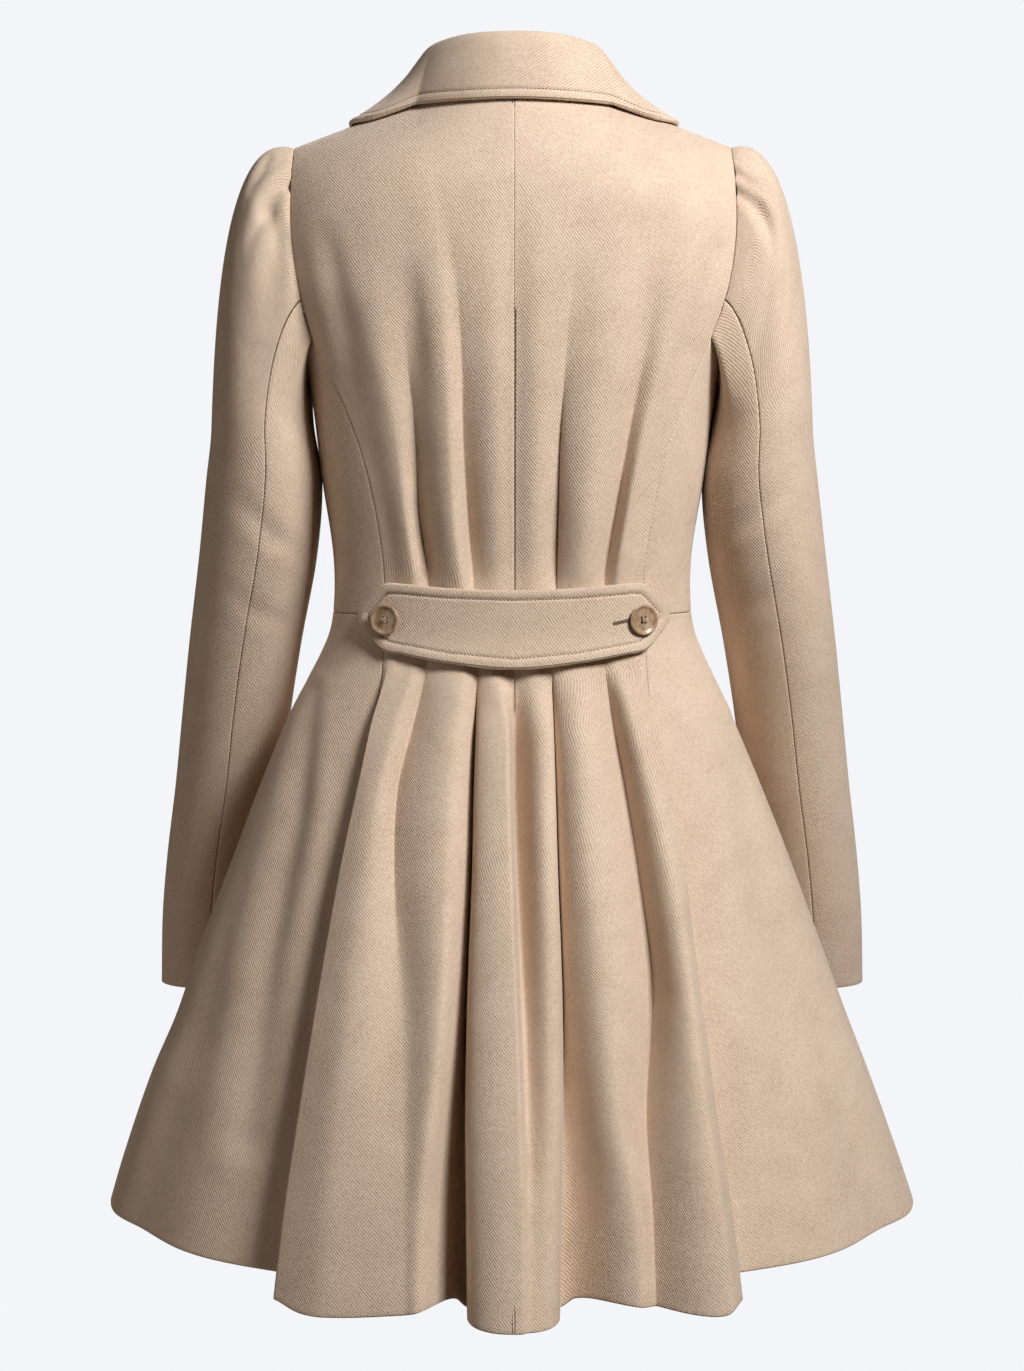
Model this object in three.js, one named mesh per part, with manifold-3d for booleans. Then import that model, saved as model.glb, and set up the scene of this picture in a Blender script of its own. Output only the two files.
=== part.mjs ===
// A double-breasted coat, filled out with no wearer, as cut and sewn: millimetres, +Z up.
// The back faces +Y, the front -Y, and the coat's own left is +X. The origin lies at the
// middle of the neck base, where the wearer's neck and shoulders hold the coat.
import * as THREE from 'three';
import Module from 'manifold-3d';

const wasm = await Module();
wasm.setup();

// Driving sizes
const WALL = 2.4;             // thickness of the wool cloth
const SEAM_GAP = 0.3;         // between two pieces at a seam
const ROUND = 2.3;            // how square the body's sections are, 2 being an ellipse
const NECK_HALF = 75;         // half width of the neckline at the shoulder seams
const NECK_BACK = 50;         // how far back the nape lies
const NECK_DROP = 4;          // side of the neck below the nape
const SHOULDER_SLOPE = 0.376; // fall of the shoulder seam for each millimetre outwards
const SHOULDER_HALF = 174;    // half width at the shoulder points
const SHOULDER_UNEVEN = 2;    // how much narrower the right shoulder is
const BACK_ROLL = 80;         // how far below the shoulder line the back rounds over
const FRONT_ROLL = 70;
const YOKE_END = -125;        // below this the rows of a panel are level
const ARMHOLE_PRINCESS = -192; // where the princess seam runs into the armhole
const ARMHOLE_DEPTH = -224;   // lowest point of the armhole
const WAIST = -408;
const SIDE_ANGLE = 98;        // side seam, degrees round from the centre back
const FRONT_HEM = -878;
const BREAK = -235;           // where the roll line of the lapels ends
const OVERLAP = 65;           // how far each front passes the centre line
const CLOTH = { color: 0xc9b096, roughness: 0.95, metalness: 0 };
const HORN = { color: 0xb0946f, roughness: 0.3, metalness: 0 };

// Half widths of the two sides, and depths of the plain body at back and front
const BODY = [
  { z: 0, left: 182, right: 182, back: 84, front: 66 },
  { z: -40, left: 186, right: 186, back: 90, front: 76 },
  { z: -70, left: 188, right: 187, back: 96, front: 90 },
  { z: -110, left: 190, right: 188, back: 102, front: 106 },
  { z: -150, left: 188, right: 186, back: 106, front: 118 },
  { z: -192, left: 173, right: 172, back: 108, front: 126 },
  { z: -225, left: 163, right: 162, back: 107, front: 128 },
  { z: -304, left: 152.7, right: 150.7, back: 97, front: 116 },
  { z: -364, left: 144, right: 141.5, back: 89, front: 103 },
  { z: -408, left: 144.2, right: 141.4, back: 86, front: 98 },
  { z: -432, left: 150, right: 147, back: 87, front: 100 },
  { z: -490, left: 179, right: 174, back: 100, front: 110 },
  { z: -544, left: 202, right: 196, back: 116, front: 120 },
  { z: -610, left: 227, right: 222, back: 138, front: 132 },
  { z: -678, left: 253, right: 247.5, back: 161, front: 142 },
  { z: -730, left: 270.5, right: 266.5, back: 180, front: 150 },
  { z: -778, left: 291, right: 285, back: 196, front: 158 },
  { z: -842, left: 313, right: 308, back: 216, front: 169 },
  { z: -890, left: 327, right: 324, back: 230, front: 177 },
  { z: -930, left: 338, right: 336, back: 241, front: 184 },
];

// Lines down each back panel: the inner and outer folds, and the outer edge, by half
const BACK_LINES = [
  { z: 0, leftIn: 40, rightIn: 40, leftOut: 96, rightOut: 104, leftEdge: 174, rightEdge: 172 },
  { z: -41, leftIn: 52, rightIn: 48, leftOut: 92, rightOut: 108, leftEdge: 174, rightEdge: 172 },
  { z: -70, leftIn: 58, rightIn: 50, leftOut: 90, rightOut: 111, leftEdge: 175.5, rightEdge: 174 },
  { z: -110, leftIn: 51, rightIn: 48, leftOut: 88, rightOut: 112, leftEdge: 175, rightEdge: 174 },
  { z: -150, leftIn: 44, rightIn: 45, leftOut: 86, rightOut: 110, leftEdge: 169, rightEdge: 168 },
  { z: -192, leftIn: 41, rightIn: 41, leftOut: 84, rightOut: 103, leftEdge: 158, rightEdge: 154 },
  { z: -225, leftIn: 40, rightIn: 39, leftOut: 81, rightOut: 97, leftEdge: 142, rightEdge: 139.5 },
  { z: -250, leftIn: 40, rightIn: 37, leftOut: 78, rightOut: 92, leftEdge: 130.5, rightEdge: 130 },
  { z: -282, leftIn: 39, rightIn: 35.5, leftOut: 76, rightOut: 87, leftEdge: 118.7, rightEdge: 118.5 },
  { z: -330, leftIn: 36, rightIn: 34.5, leftOut: 74, rightOut: 79, leftEdge: 107.5, rightEdge: 108.5 },
  { z: -382, leftIn: 32, rightIn: 33, leftOut: 67, rightOut: 71, leftEdge: 101.3, rightEdge: 101.3 },
  { z: -445, leftIn: 29, rightIn: 30, leftOut: 68, rightOut: 71, leftEdge: 103, rightEdge: 104 },
  { z: -490, leftIn: 30, rightIn: 31, leftOut: 78, rightOut: 77, leftEdge: 111, rightEdge: 110.5 },
  { z: -540, leftIn: 31.5, rightIn: 32.5, leftOut: 90, rightOut: 86, leftEdge: 121.5, rightEdge: 120.5 },
  { z: -600, leftIn: 32.7, rightIn: 34, leftOut: 92, rightOut: 95.5, leftEdge: 134, rightEdge: 131 },
  { z: -690, leftIn: 36, rightIn: 37, leftOut: 86, rightOut: 106, leftEdge: 149.5, rightEdge: 142 },
  { z: -780, leftIn: 37.3, rightIn: 37.3, leftOut: 84, rightOut: 100, leftEdge: 163.5, rightEdge: 153.5 },
  { z: -850, leftIn: 36.5, rightIn: 36, leftOut: 83, rightOut: 104, leftEdge: 173.5, rightEdge: 164 },
  { z: -930, leftIn: 35.5, rightIn: 34.5, leftOut: 82, rightOut: 106, leftEdge: 182, rightEdge: 173 },
];

// How far the cloth of the back stands out from the plain body on the tops of its box and
// rolls, and lies in its folds; cleft is the depth of the groove down the box, at half width cleftX
const BACK_RELIEF = [
  {
    z: -60, box: 0, cleft: 0, cleftX: 0, inFold: 0, innerLeft: 0, outLeft: 0,
    outerLeft: 0, innerRight: 0, outRight: 0, outerRight: 0, edge: 0, tuck: 0,
  },
  {
    z: -130, box: 0, cleft: 3, cleftX: 0, inFold: -2, innerLeft: 0, outLeft: -1.5,
    outerLeft: 0, innerRight: 0, outRight: -1.5, outerRight: 0, edge: 0, tuck: 0,
  },
  {
    z: -200, box: 0, cleft: 6, cleftX: 0, inFold: -7, innerLeft: 1, outLeft: -6,
    outerLeft: 1, innerRight: 1, outRight: -6, outerRight: 1, edge: 0, tuck: 0,
  },
  {
    z: -282, box: 2, cleft: 8, cleftX: 0, inFold: -12, innerLeft: 4, outLeft: -10,
    outerLeft: 3, innerRight: 4, outRight: -10, outerRight: 3, edge: 0, tuck: 0,
  },
  {
    z: -345, box: 3, cleft: 9, cleftX: 0, inFold: -14, innerLeft: 6, outLeft: -13,
    outerLeft: 4, innerRight: 6, outRight: -13, outerRight: 4, edge: 0, tuck: 0,
  },
  {
    z: -376, box: 2, cleft: 7, cleftX: 0, inFold: -11, innerLeft: 4, outLeft: -10,
    outerLeft: 3, innerRight: 4, outRight: -11, outerRight: 3, edge: 0, tuck: 0,
  },
  {
    z: -396, box: 0, cleft: 3, cleftX: 0, inFold: -3, innerLeft: 0, outLeft: -3,
    outerLeft: 0, innerRight: 0, outRight: -3, outerRight: 0, edge: 0, tuck: 0,
  },
  {
    z: -428, box: 0, cleft: 3, cleftX: 0, inFold: -4, innerLeft: 0, outLeft: -3,
    outerLeft: 0, innerRight: 0, outRight: -3, outerRight: 0, edge: 0, tuck: 0,
  },
  {
    z: -448, box: 0, cleft: 5, cleftX: 0, inFold: -4, innerLeft: 0, outLeft: -3,
    outerLeft: 0, innerRight: 0, outRight: -3, outerRight: 0, edge: 3, tuck: 0.5,
  },
  {
    z: -472, box: 9, cleft: 16, cleftX: -1, inFold: -9, innerLeft: 8, outLeft: -6,
    outerLeft: 7, innerRight: 8, outRight: -8, outerRight: 8, edge: 7, tuck: 2,
  },
  {
    z: -500, box: 19, cleft: 24, cleftX: -2, inFold: -9, innerLeft: 16, outLeft: -4,
    outerLeft: 13, innerRight: 16, outRight: -8, outerRight: 15, edge: 12, tuck: 5,
  },
  {
    z: -560, box: 30, cleft: 28, cleftX: -4, inFold: -8, innerLeft: 26, outLeft: 6,
    outerLeft: 22, innerRight: 25, outRight: -7, outerRight: 23, edge: 16, tuck: 7,
  },
  {
    z: -640, box: 44, cleft: 26, cleftX: -7, inFold: -7, innerLeft: 38, outLeft: 18,
    outerLeft: 32, innerRight: 31, outRight: -3, outerRight: 34, edge: 22, tuck: 8,
  },
  {
    z: -740, box: 56, cleft: 20, cleftX: -10, inFold: -6, innerLeft: 46, outLeft: 33,
    outerLeft: 42, innerRight: 32, outRight: -2, outerRight: 44, edge: 28, tuck: 9,
  },
  {
    z: -840, box: 66, cleft: 9, cleftX: -12, inFold: -5, innerLeft: 48, outLeft: 45,
    outerLeft: 48, innerRight: 32, outRight: 15, outerRight: 50, edge: 32, tuck: 9,
  },
  {
    z: -930, box: 71, cleft: 3, cleftX: -12, inFold: -5, innerLeft: 50, outLeft: 48,
    outerLeft: 50, innerRight: 30, outRight: 20, outerRight: 52, edge: 34, tuck: 9,
  },
];

// Where the top of each roll lies between its two folds, from the box outward
const ROLL_TOP = [
  { z: -60, innerLeft: 0.35, outerLeft: 0.42, innerRight: 0.5, outerRight: 0.42 },
  { z: -445, innerLeft: 0.32, outerLeft: 0.42, innerRight: 0.5, outerRight: 0.42 },
  { z: -504, innerLeft: 0.35, outerLeft: 0.5, innerRight: 0.42, outerRight: 0.55 },
  { z: -609, innerLeft: 0.35, outerLeft: 0.55, innerRight: 0.42, outerRight: 0.72 },
  { z: -729, innerLeft: 0.45, outerLeft: 0.6, innerRight: 0.5, outerRight: 0.8 },
  { z: -842, innerLeft: 0.75, outerLeft: 0.6, innerRight: 0.78, outerRight: 0.84 },
  { z: -930, innerLeft: 0.82, outerLeft: 0.6, innerRight: 0.84, outerRight: 0.84 },
];

// The sleeve's level sections: middle, half width and half depth
const SLEEVE = [
  { z: -224, left: 202.5, right: 199.5, y: 0, wide: 39, deep: 60 },
  { z: -264, left: 200, right: 197, y: -2, wide: 41, deep: 61 },
  { z: -304, left: 199.4, right: 196.2, y: -7, wide: 46.3, deep: 61 },
  { z: -364, left: 205.2, right: 202.8, y: -18, wide: 47.3, deep: 59 },
  { z: -434, left: 217, right: 214.5, y: -38, wide: 45.3, deep: 55 },
  { z: -494, left: 226, right: 223.5, y: -58, wide: 44, deep: 52 },
  { z: -552, left: 233.5, right: 231, y: -78, wide: 43.8, deep: 51 },
  { z: -615, left: 243.5, right: 240.5, y: -101, wide: 43.2, deep: 50 },
  { z: -667, left: 249.7, right: 246.5, y: -120, wide: 42.8, deep: 50 },
  { z: -726, left: 253.3, right: 250.3, y: -141, wide: 42.2, deep: 50 },
];

// Tucks of the sleeve head: where round the head, how deep and how long
const TUCKS = [
  { at: -52, depth: 3.5, reach: 0.30 },
  { at: -26, depth: 4, reach: 0.34 },
  { at: 30, depth: 4.5, reach: 0.36 },
  { at: 58, depth: 5.5, reach: 0.44 },
];

// The hem of the back panel, by its strips, and of the side panel, by the share of the way round
const BACK_HEM = [
  { at: 0, z: -922 },
  { at: 0.6, z: -921.6 },
  { at: 1, z: -919 },
  { at: 1.15, z: -912 },
  { at: 1.5, z: -910.5 },
  { at: 2, z: -914.5 },
  { at: 2.5, z: -917.5 },
  { at: 2.8, z: -917 },
  { at: 3, z: -911 },
  { at: 4, z: -899 },
];
const SIDE_HEM = [
  { at: 0, z: -899 },
  { at: 0.15, z: -895 },
  { at: 0.33, z: -890 },
  { at: 0.55, z: -883.5 },
  { at: 0.8, z: -880 },
  { at: 1, z: -879 },
];
const SIDE_SEAM_HEM = -879;

const clamp = (v, lo = 0, hi = 1) => Math.min(hi, Math.max(lo, v));
const mix = (a, b, t) => a + (b - a) * t;
const smooth = (t) => clamp(t) ** 2 * (3 - 2 * clamp(t));
const radians = THREE.MathUtils.degToRad;
const sideName = (side) => (side > 0 ? 'left' : 'right');

// The value of one column of a table at a height (or at another first column), on a
// smooth curve through the rows, straight past the first and last row
function read(table, column, at, first = 'z') {
  const step = Math.sign(table[1][first] - table[0][first]);
  let i = 0;
  while (i < table.length - 2 && (at - table[i + 1][first]) * step > 0) i += 1;
  const slope = (j) => {
    const a = table[Math.max(0, j - 1)];
    const b = table[Math.min(table.length - 1, j + 1)];
    return (b[column] - a[column]) / (b[first] - a[first]);
  };
  const a = table[i];
  const b = table[i + 1];
  const span = b[first] - a[first];
  const t = (at - a[first]) / span;
  if (t < 0) return a[column] + slope(i) * (at - a[first]);
  if (t > 1) return b[column] + slope(i + 1) * (at - b[first]);
  const h = t * t * (3 - 2 * t);
  const rise = t * (1 - t) * span;
  return mix(a[column], b[column], h) + rise * ((1 - t) * slope(i) - t * slope(i + 1));
}

// A grid of points of one face of a piece, with its wall laid inwards and closed all round
function wallMesh(name, surface, rows, columns, look, thickness = WALL, closed = false) {
  const outer = [];
  const inner = [];
  const nudge = 1e-3;
  const normal = (u, v) => {
    const across = surface(u + nudge, v).sub(surface(u - nudge, v));
    const down = surface(u, v + nudge).sub(surface(u, v - nudge));
    return across.cross(down).normalize();
  };
  for (const v of rows) {
    for (const u of columns) {
      const point = surface(u, v);
      outer.push(point);
      inner.push(point.clone().addScaledVector(normal(u, v), -thickness));
    }
  }
  const n = columns.length;
  const m = rows.length;
  const at = (i, j, layer) => layer * n * m + i * n + (closed ? j % n : j);
  const faces = [];
  const quad = (a, b, c, d) => faces.push(a, b, c, a, c, d);
  const across = closed ? n : n - 1;
  for (let i = 0; i < m - 1; i += 1) {
    for (let j = 0; j < across; j += 1) {
      quad(at(i, j, 0), at(i, j + 1, 0), at(i + 1, j + 1, 0), at(i + 1, j, 0));
      quad(at(i, j, 1), at(i + 1, j, 1), at(i + 1, j + 1, 1), at(i, j + 1, 1));
    }
  }
  for (let j = 0; j < across; j += 1) {
    quad(at(0, j, 0), at(0, j, 1), at(0, j + 1, 1), at(0, j + 1, 0));
    quad(at(m - 1, j, 0), at(m - 1, j + 1, 0), at(m - 1, j + 1, 1), at(m - 1, j, 1));
  }
  if (!closed) {
    for (let i = 0; i < m - 1; i += 1) {
      quad(at(i, 0, 0), at(i + 1, 0, 0), at(i + 1, 0, 1), at(i, 0, 1));
      quad(at(i, n - 1, 0), at(i, n - 1, 1), at(i + 1, n - 1, 1), at(i + 1, n - 1, 0));
    }
  }
  return solidMesh(name, [...outer, ...inner], faces, look);
}

// A mesh of points and faces, turned the right way out if it is inside out
function solidMesh(name, points, faces, look) {
  const flat = new Float32Array(points.flatMap((p) => [p.x, p.y, p.z]));
  let volume = 0;
  const [a, b, c] = [new THREE.Vector3(), new THREE.Vector3(), new THREE.Vector3()];
  for (let i = 0; i < faces.length; i += 3) {
    a.fromArray(flat, faces[i] * 3);
    b.fromArray(flat, faces[i + 1] * 3);
    c.fromArray(flat, faces[i + 2] * 3);
    volume += a.dot(b.clone().cross(c));
  }
  if (volume < 0) faces.reverse();
  const geometry = new THREE.BufferGeometry();
  geometry.setAttribute('position', new THREE.BufferAttribute(flat, 3));
  geometry.setIndex(faces);
  geometry.computeVertexNormals();
  const mesh = new THREE.Mesh(geometry, new THREE.MeshStandardMaterial(look));
  mesh.name = name;
  return mesh;
}

const even = (count) => Array.from({ length: count + 1 }, (_, i) => i / count);

// The plain body

const shoulderHalf = (side) => SHOULDER_HALF - (side > 0 ? 0 : SHOULDER_UNEVEN);
const half = (z, side) => read(BODY, sideName(side), z);

// The angle round the section at which the body has a given half width
function angleOf(x, z, side) {
  const share = clamp(Math.abs(x) / half(z, side), 0, 1);
  return Math.sign(x) * Math.asin(share ** (ROUND / 2));
}

// The neckline and shoulder line, from which the body hangs
function topLine(x, front) {
  const wide = Math.abs(x);
  const s = Math.min(1, wide / NECK_HALF);
  return {
    y: front ? 0 : NECK_BACK * (1 - s * s),
    z: (front ? -NECK_DROP : -NECK_DROP * s * s) - SHOULDER_SLOPE * Math.max(0, wide - NECK_HALF),
  };
}

// A point of the body at an angle from the centre back or centre front. Below zero, fold
// runs over the shoulder line to the other half.
function bodyPoint(angle, z, side, front, over = 1) {
  const sine = Math.sin(angle);
  const cosine = Math.cos(angle);
  const wide = half(z, side);
  const depth = read(BODY, front === cosine > 0 ? 'front' : 'back', z);
  const x = wide * Math.sign(sine) * Math.abs(sine) ** (2 / ROUND);
  const full = depth * Math.sign(cosine) * Math.abs(cosine) ** (2 / ROUND);
  const top = topLine(x, front);
  const t = clamp((top.z - z) / (front ? FRONT_ROLL : BACK_ROLL));
  const roll = over * Math.sqrt(Math.max(0, 2 * t - t * t));
  const y = top.y + (full - top.y) * roll;
  return new THREE.Vector3(x * side, front ? -y : y, z);
}

// Height of a row that starts on the shoulder line and is level from the yoke's end down
function rowHeight(v, topZ, levels, yokeRows) {
  const share = yokeRows / (yokeRows + levels.length);
  if (v < share) {
    const bend = (v / share) * (Math.PI / 2);
    return { z: topZ + (YOKE_END - topZ) * (1 - Math.cos(bend)), over: v < 0 ? -1 : 1 };
  }
  const place = ((v - share) / (1 - share)) * levels.length;
  const i = clamp(Math.floor(place), 0, levels.length - 1);
  const from = i === 0 ? YOKE_END : levels[i - 1];
  return { z: mix(from, levels[i], place - i), over: 1 };
}

// The back panels

// Levels of the rows down the princess seam, shared by the pieces on both sides of it
const BODICE_LEVELS = [ARMHOLE_PRINCESS, -226, -262, -298, -332, -362, -385, WAIST];
const SKIRT_LEVELS = [-426, -444, -460, -482, -512, -550, -598, -655, -715, -775, -830, -872];
const BACK_LEVELS = [-150, -172, ...BODICE_LEVELS, ...SKIRT_LEVELS];
const YOKE_ROWS = 5;
// Shares of each of the panel's three strips and the edge, closest at the folds
const BACK_COLUMNS = [0, 0.12, 0.25, 0.4, 0.6, 0.82, 0.94, 1, 1.08, 1.2, 1.4, 1.6, 1.8, 2, 2.16, 2.35,
  2.58, 2.76, 2.9, 3, 3.5, 4];

// A roll's height from 0 through 1 to 0; start and end give how steep its two feet are
function roll(t, top, start, end) {
  const turn = clamp((t < top ? t / top : 2 - (1 - t) / (1 - top)) / 2);
  return Math.max(0, Math.sin(Math.PI * turn)) ** mix(start, end, turn);
}

// How far the seam of the skirt lies in behind the edge of the outer roll
const tuckAt = (z) => (z < WAIST ? Math.max(0, read(BACK_RELIEF, 'tuck', z)) : 0);
const SEAM_STRIP = 5;
const FOLD_START = -438;
const FOLD_LENGTH = 60;
// Where the folds turn from soft waves to creases, and the slits beside the box open out
const CREASE_START = -150;
const CREASE_LENGTH = 120;
const OPEN_START = -660;
const OPEN_LENGTH = 190;

// How steep a roll's foot is: 2 is a soft wave, 1 a crease and less a slit
const WAVE_FOOT = 1.7;
const CREASE_FOOT = 1;
const SHARP_FOOT = 0.6;
const SLIT_FOOT = 0.5;
const OPEN_FOOT = 1.9;
const EDGE_FOOT = 2;
const BOX_SQUARE = 0.17;
// How far the cleft reaches to its left and right, above and below the belt
const CLEFT_REACH = { above: 13, left: 5, right: 17 };

function backPoint(c, z, side, over = 1) {
  const name = sideName(side);
  const Name = side > 0 ? 'Left' : 'Right';
  const lineIn = read(BACK_LINES, `${name}In`, z);
  const lineOut = read(BACK_LINES, `${name}Out`, z);
  const edge = read(BACK_LINES, `${name}Edge`, z);
  const relief = (column) => (z > BACK_RELIEF[0].z ? 0 : read(BACK_RELIEF, column, z));
  const rollTop = (column) => read(ROLL_TOP, `${column}${Name}`, Math.min(z, ROLL_TOP[0].z));
  const fold = smooth((FOLD_START - z) / FOLD_LENGTH);
  const crease = smooth((CREASE_START - z) / CREASE_LENGTH);
  const inFold = relief('inFold');
  const outFold = relief(`out${Name}`);
  const stripEdge = edge - SEAM_STRIP * (1 - fold);
  let x;
  let out;
  if (c <= 1) {
    x = lineIn * c;
    const middle = side * x - relief('cleftX');
    const below = middle > 0 ? CLEFT_REACH.left : CLEFT_REACH.right;
    const dip = relief('cleft') * Math.exp(-((middle / mix(CLEFT_REACH.above, below, fold)) ** 2));
    const square = Math.max(0, Math.sin(Math.PI * (0.5 + c / 2))) ** mix(1, BOX_SQUARE, fold);
    out = mix(inFold, relief('box'), square) - dip;
  } else if (c <= 2) {
    const t = c - 1;
    x = mix(lineIn, lineOut, t);
    const slit = mix(SLIT_FOOT, OPEN_FOOT, smooth((OPEN_START - z) / OPEN_LENGTH));
    const start = mix(WAVE_FOOT, mix(side > 0 ? CREASE_FOOT : SHARP_FOOT, slit, fold), crease);
    const height = roll(t, rollTop('inner'), start, mix(WAVE_FOOT, CREASE_FOOT, crease));
    out = mix(mix(inFold, outFold, t), relief(`inner${Name}`), height);
  } else if (c <= 3) {
    const t = c - 2;
    x = mix(lineOut, stripEdge, t);
    const end = mix(EDGE_FOOT, CREASE_FOOT, fold);
    const height = roll(t, rollTop('outer'), mix(WAVE_FOOT, CREASE_FOOT, crease), end);
    out = mix(mix(outFold, relief('edge'), t), relief(`outer${Name}`), height);
  } else {
    const t = c - 3;
    x = mix(stripEdge, edge - tuckAt(z), t);
    out = relief('edge') * (1 - t);
  }
  const point = bodyPoint(angleOf(x, z, side), z, side, false, over);
  point.y += out;
  return point;
}

function backPanel(side) {
  const rows = even(YOKE_ROWS + BACK_LEVELS.length + 1);
  const surface = (c, v) => {
    const levels = [...BACK_LEVELS, read(BACK_HEM, 'z', c, 'at')];
    const share = YOKE_ROWS / (YOKE_ROWS + levels.length);
    const { z, over } = rowHeight(v, v < share ? topOfColumn(c, side) : 0, levels, YOKE_ROWS);
    const point = backPoint(c, z, side, over);
    point.x += (SEAM_GAP / 2) * side * (1 - c / 2);
    point.y += (SEAM_GAP / 2) * clamp(1 - v / share);
    return point;
  };
  return wallMesh(`back_${sideName(side)}`, surface, rows, BACK_COLUMNS, CLOTH, WALL * side);
}

// Height at which a column of the back panel meets the neckline or the shoulder line
function topOfColumn(c, side) {
  let z = topLine(NECK_HALF, false).z;
  for (let pass = 0; pass < 6; pass += 1) {
    z = topLine(backPoint(c, z, side).x, false).z;
  }
  return z;
}

// The side panels

const princess = (z, side) => read(BACK_LINES, `${sideName(side)}Edge`, z);

function seamAngle(z, side) {
  return angleOf(princess(z, side) - tuckAt(z), z, side);
}

// The same levels as shares of the side panels' height, from the armhole and from the waist
const BACK_SEAM_HEM = -899;
const BODICE_SHARES = BODICE_LEVELS.map((z) => (z - ARMHOLE_PRINCESS) / (WAIST - ARMHOLE_PRINCESS));
const SKIRT_SHARES = [WAIST, ...SKIRT_LEVELS, BACK_SEAM_HEM].map((z) => (z - WAIST) / (BACK_SEAM_HEM - WAIST));

const armholeFloor = (g) => ARMHOLE_PRINCESS + (ARMHOLE_DEPTH - ARMHOLE_PRINCESS) * Math.sin(g * (Math.PI / 2));

// Moves an angle by the seam gap, as a length along the section
const gapAngle = (z, side) => (SEAM_GAP * 1.2) / half(z, side);

function sideBodice(side) {
  const surface = (g, v) => {
    const z = mix(armholeFloor(clamp(g)), WAIST + SEAM_GAP / 2, v);
    const from = seamAngle(z, side) + gapAngle(z, side);
    return bodyPoint(mix(from, radians(SIDE_ANGLE), g), z, side, false);
  };
  return wallMesh(`side_back_bodice_${sideName(side)}`, surface, BODICE_SHARES, even(5), CLOTH, WALL * side);
}

// Soft flare of the side skirt: waves out and in round the side, growing to the hem
function sideWave(g, z, side) {
  const grow = smooth((WAIST - z) / 470);
  return grow * (side > 0 ? 5 : 6) * Math.sin(g * Math.PI * 3) * (1 - g) * g * 4 * smooth((0.8 - g) / 0.3);
}

function sideSkirt(side) {
  const surface = (g, v) => {
    const z = mix(WAIST - SEAM_GAP / 2, read(SIDE_HEM, 'z', clamp(g), 'at'), v);
    const from = seamAngle(z, side) + gapAngle(z, side);
    const angle = mix(from, radians(SIDE_ANGLE), g);
    const point = bodyPoint(angle, z, side, false);
    const wave = sideWave(g, z, side);
    point.x += wave * Math.sin(angle) * side;
    point.y += wave * Math.cos(angle);
    return point;
  };
  return wallMesh(`side_back_skirt_${sideName(side)}`, surface, SKIRT_SHARES, even(8), CLOTH, WALL * side);
}

// The fronts

const FRONT_LEVELS = [-150, -172, ARMHOLE_PRINCESS, -210, ...BODICE_SHARES.map(
  (share) => mix(ARMHOLE_DEPTH, WAIST + SEAM_GAP / 2, share))];
const FRONT_YOKE_ROWS = 5;
const FRONT_SIDE = radians(180 - SIDE_ANGLE);
// The armhole's front edge as a half width, then as an angle below the chest
const FRONT_ARMHOLE = [
  { z: 0, x: 174 },
  { z: -41, x: 174 },
  { z: -70, x: 175 },
  { z: -110, x: 173 },
  { z: -150, x: 169 },
  { z: -192, x: 158 },
];

// Roll line of the lapel, then the front edge: half width past the centre line
const frontEdge = (z) => mix(-NECK_HALF, OVERLAP, clamp((z + NECK_DROP) / (BREAK + NECK_DROP)));

// The outer front lies over the inner one where they overlap, below the shoulders
// The right front laps over the left: how far it is lifted, and over what width and height
const FRONT_LIFT = 1.8;
const LIFT_REACH = 46;
const LIFT_EASE = 20;
const LIFT_FALL = 45;
const LIFT_START = -55;
function frontLift(x, z, side) {
  const across = smooth((OVERLAP + LIFT_REACH - Math.abs(x)) / LIFT_EASE);
  return (side < 0 ? 1 : -1) * FRONT_LIFT * across * smooth((LIFT_START - z) / LIFT_FALL);
}

function frontPoint(angle, z, side, over = 1) {
  const point = bodyPoint(angle, z, side, true, over);
  point.y -= frontLift(point.x, z, side);
  return point;
}

function frontSideAngle(z, side) {
  const wide = read(FRONT_ARMHOLE, 'x', Math.max(z, ARMHOLE_PRINCESS)) + shoulderHalf(side) - SHOULDER_HALF;
  const chest = angleOf(wide, z, side);
  const gap = gapAngle(z, side);
  const fall = Math.sqrt(clamp((ARMHOLE_PRINCESS - z) / (ARMHOLE_PRINCESS - ARMHOLE_DEPTH)));
  return z > ARMHOLE_PRINCESS ? chest : mix(chest, FRONT_SIDE - gap, 1 - Math.sqrt(1 - fall ** 4));
}

function frontBodice(side) {
  const rows = even(FRONT_YOKE_ROWS + FRONT_LEVELS.length);
  const surface = (g, v) => {
    const share = FRONT_YOKE_ROWS / (FRONT_YOKE_ROWS + FRONT_LEVELS.length);
    const rowAt = (x) => rowHeight(v, topLine(x, true).z, FRONT_LEVELS, FRONT_YOKE_ROWS);
    const { z, over } = rowAt(mix(NECK_HALF, shoulderHalf(side), g));
    let angle = mix(angleOf(-frontEdge(z), z, side), frontSideAngle(z, side), g);
    if (v < share) {
      // The rows of the yoke are level with the shoulder line, so each has its own ends
      const inner = -frontEdge(rowAt(NECK_HALF).z);
      const outer = read(FRONT_ARMHOLE, 'x', rowAt(shoulderHalf(side)).z) + shoulderHalf(side) - SHOULDER_HALF;
      angle = mix(angleOf(mix(inner, outer, g), z, side), angle, smooth(v / share));
    }
    const point = frontPoint(angle, z, side, over);
    point.y -= (SEAM_GAP / 2) * clamp(1 - v / share);
    return point;
  };
  return wallMesh(`front_bodice_${sideName(side)}`, surface, rows, even(10), CLOTH, -WALL * side);
}

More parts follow.
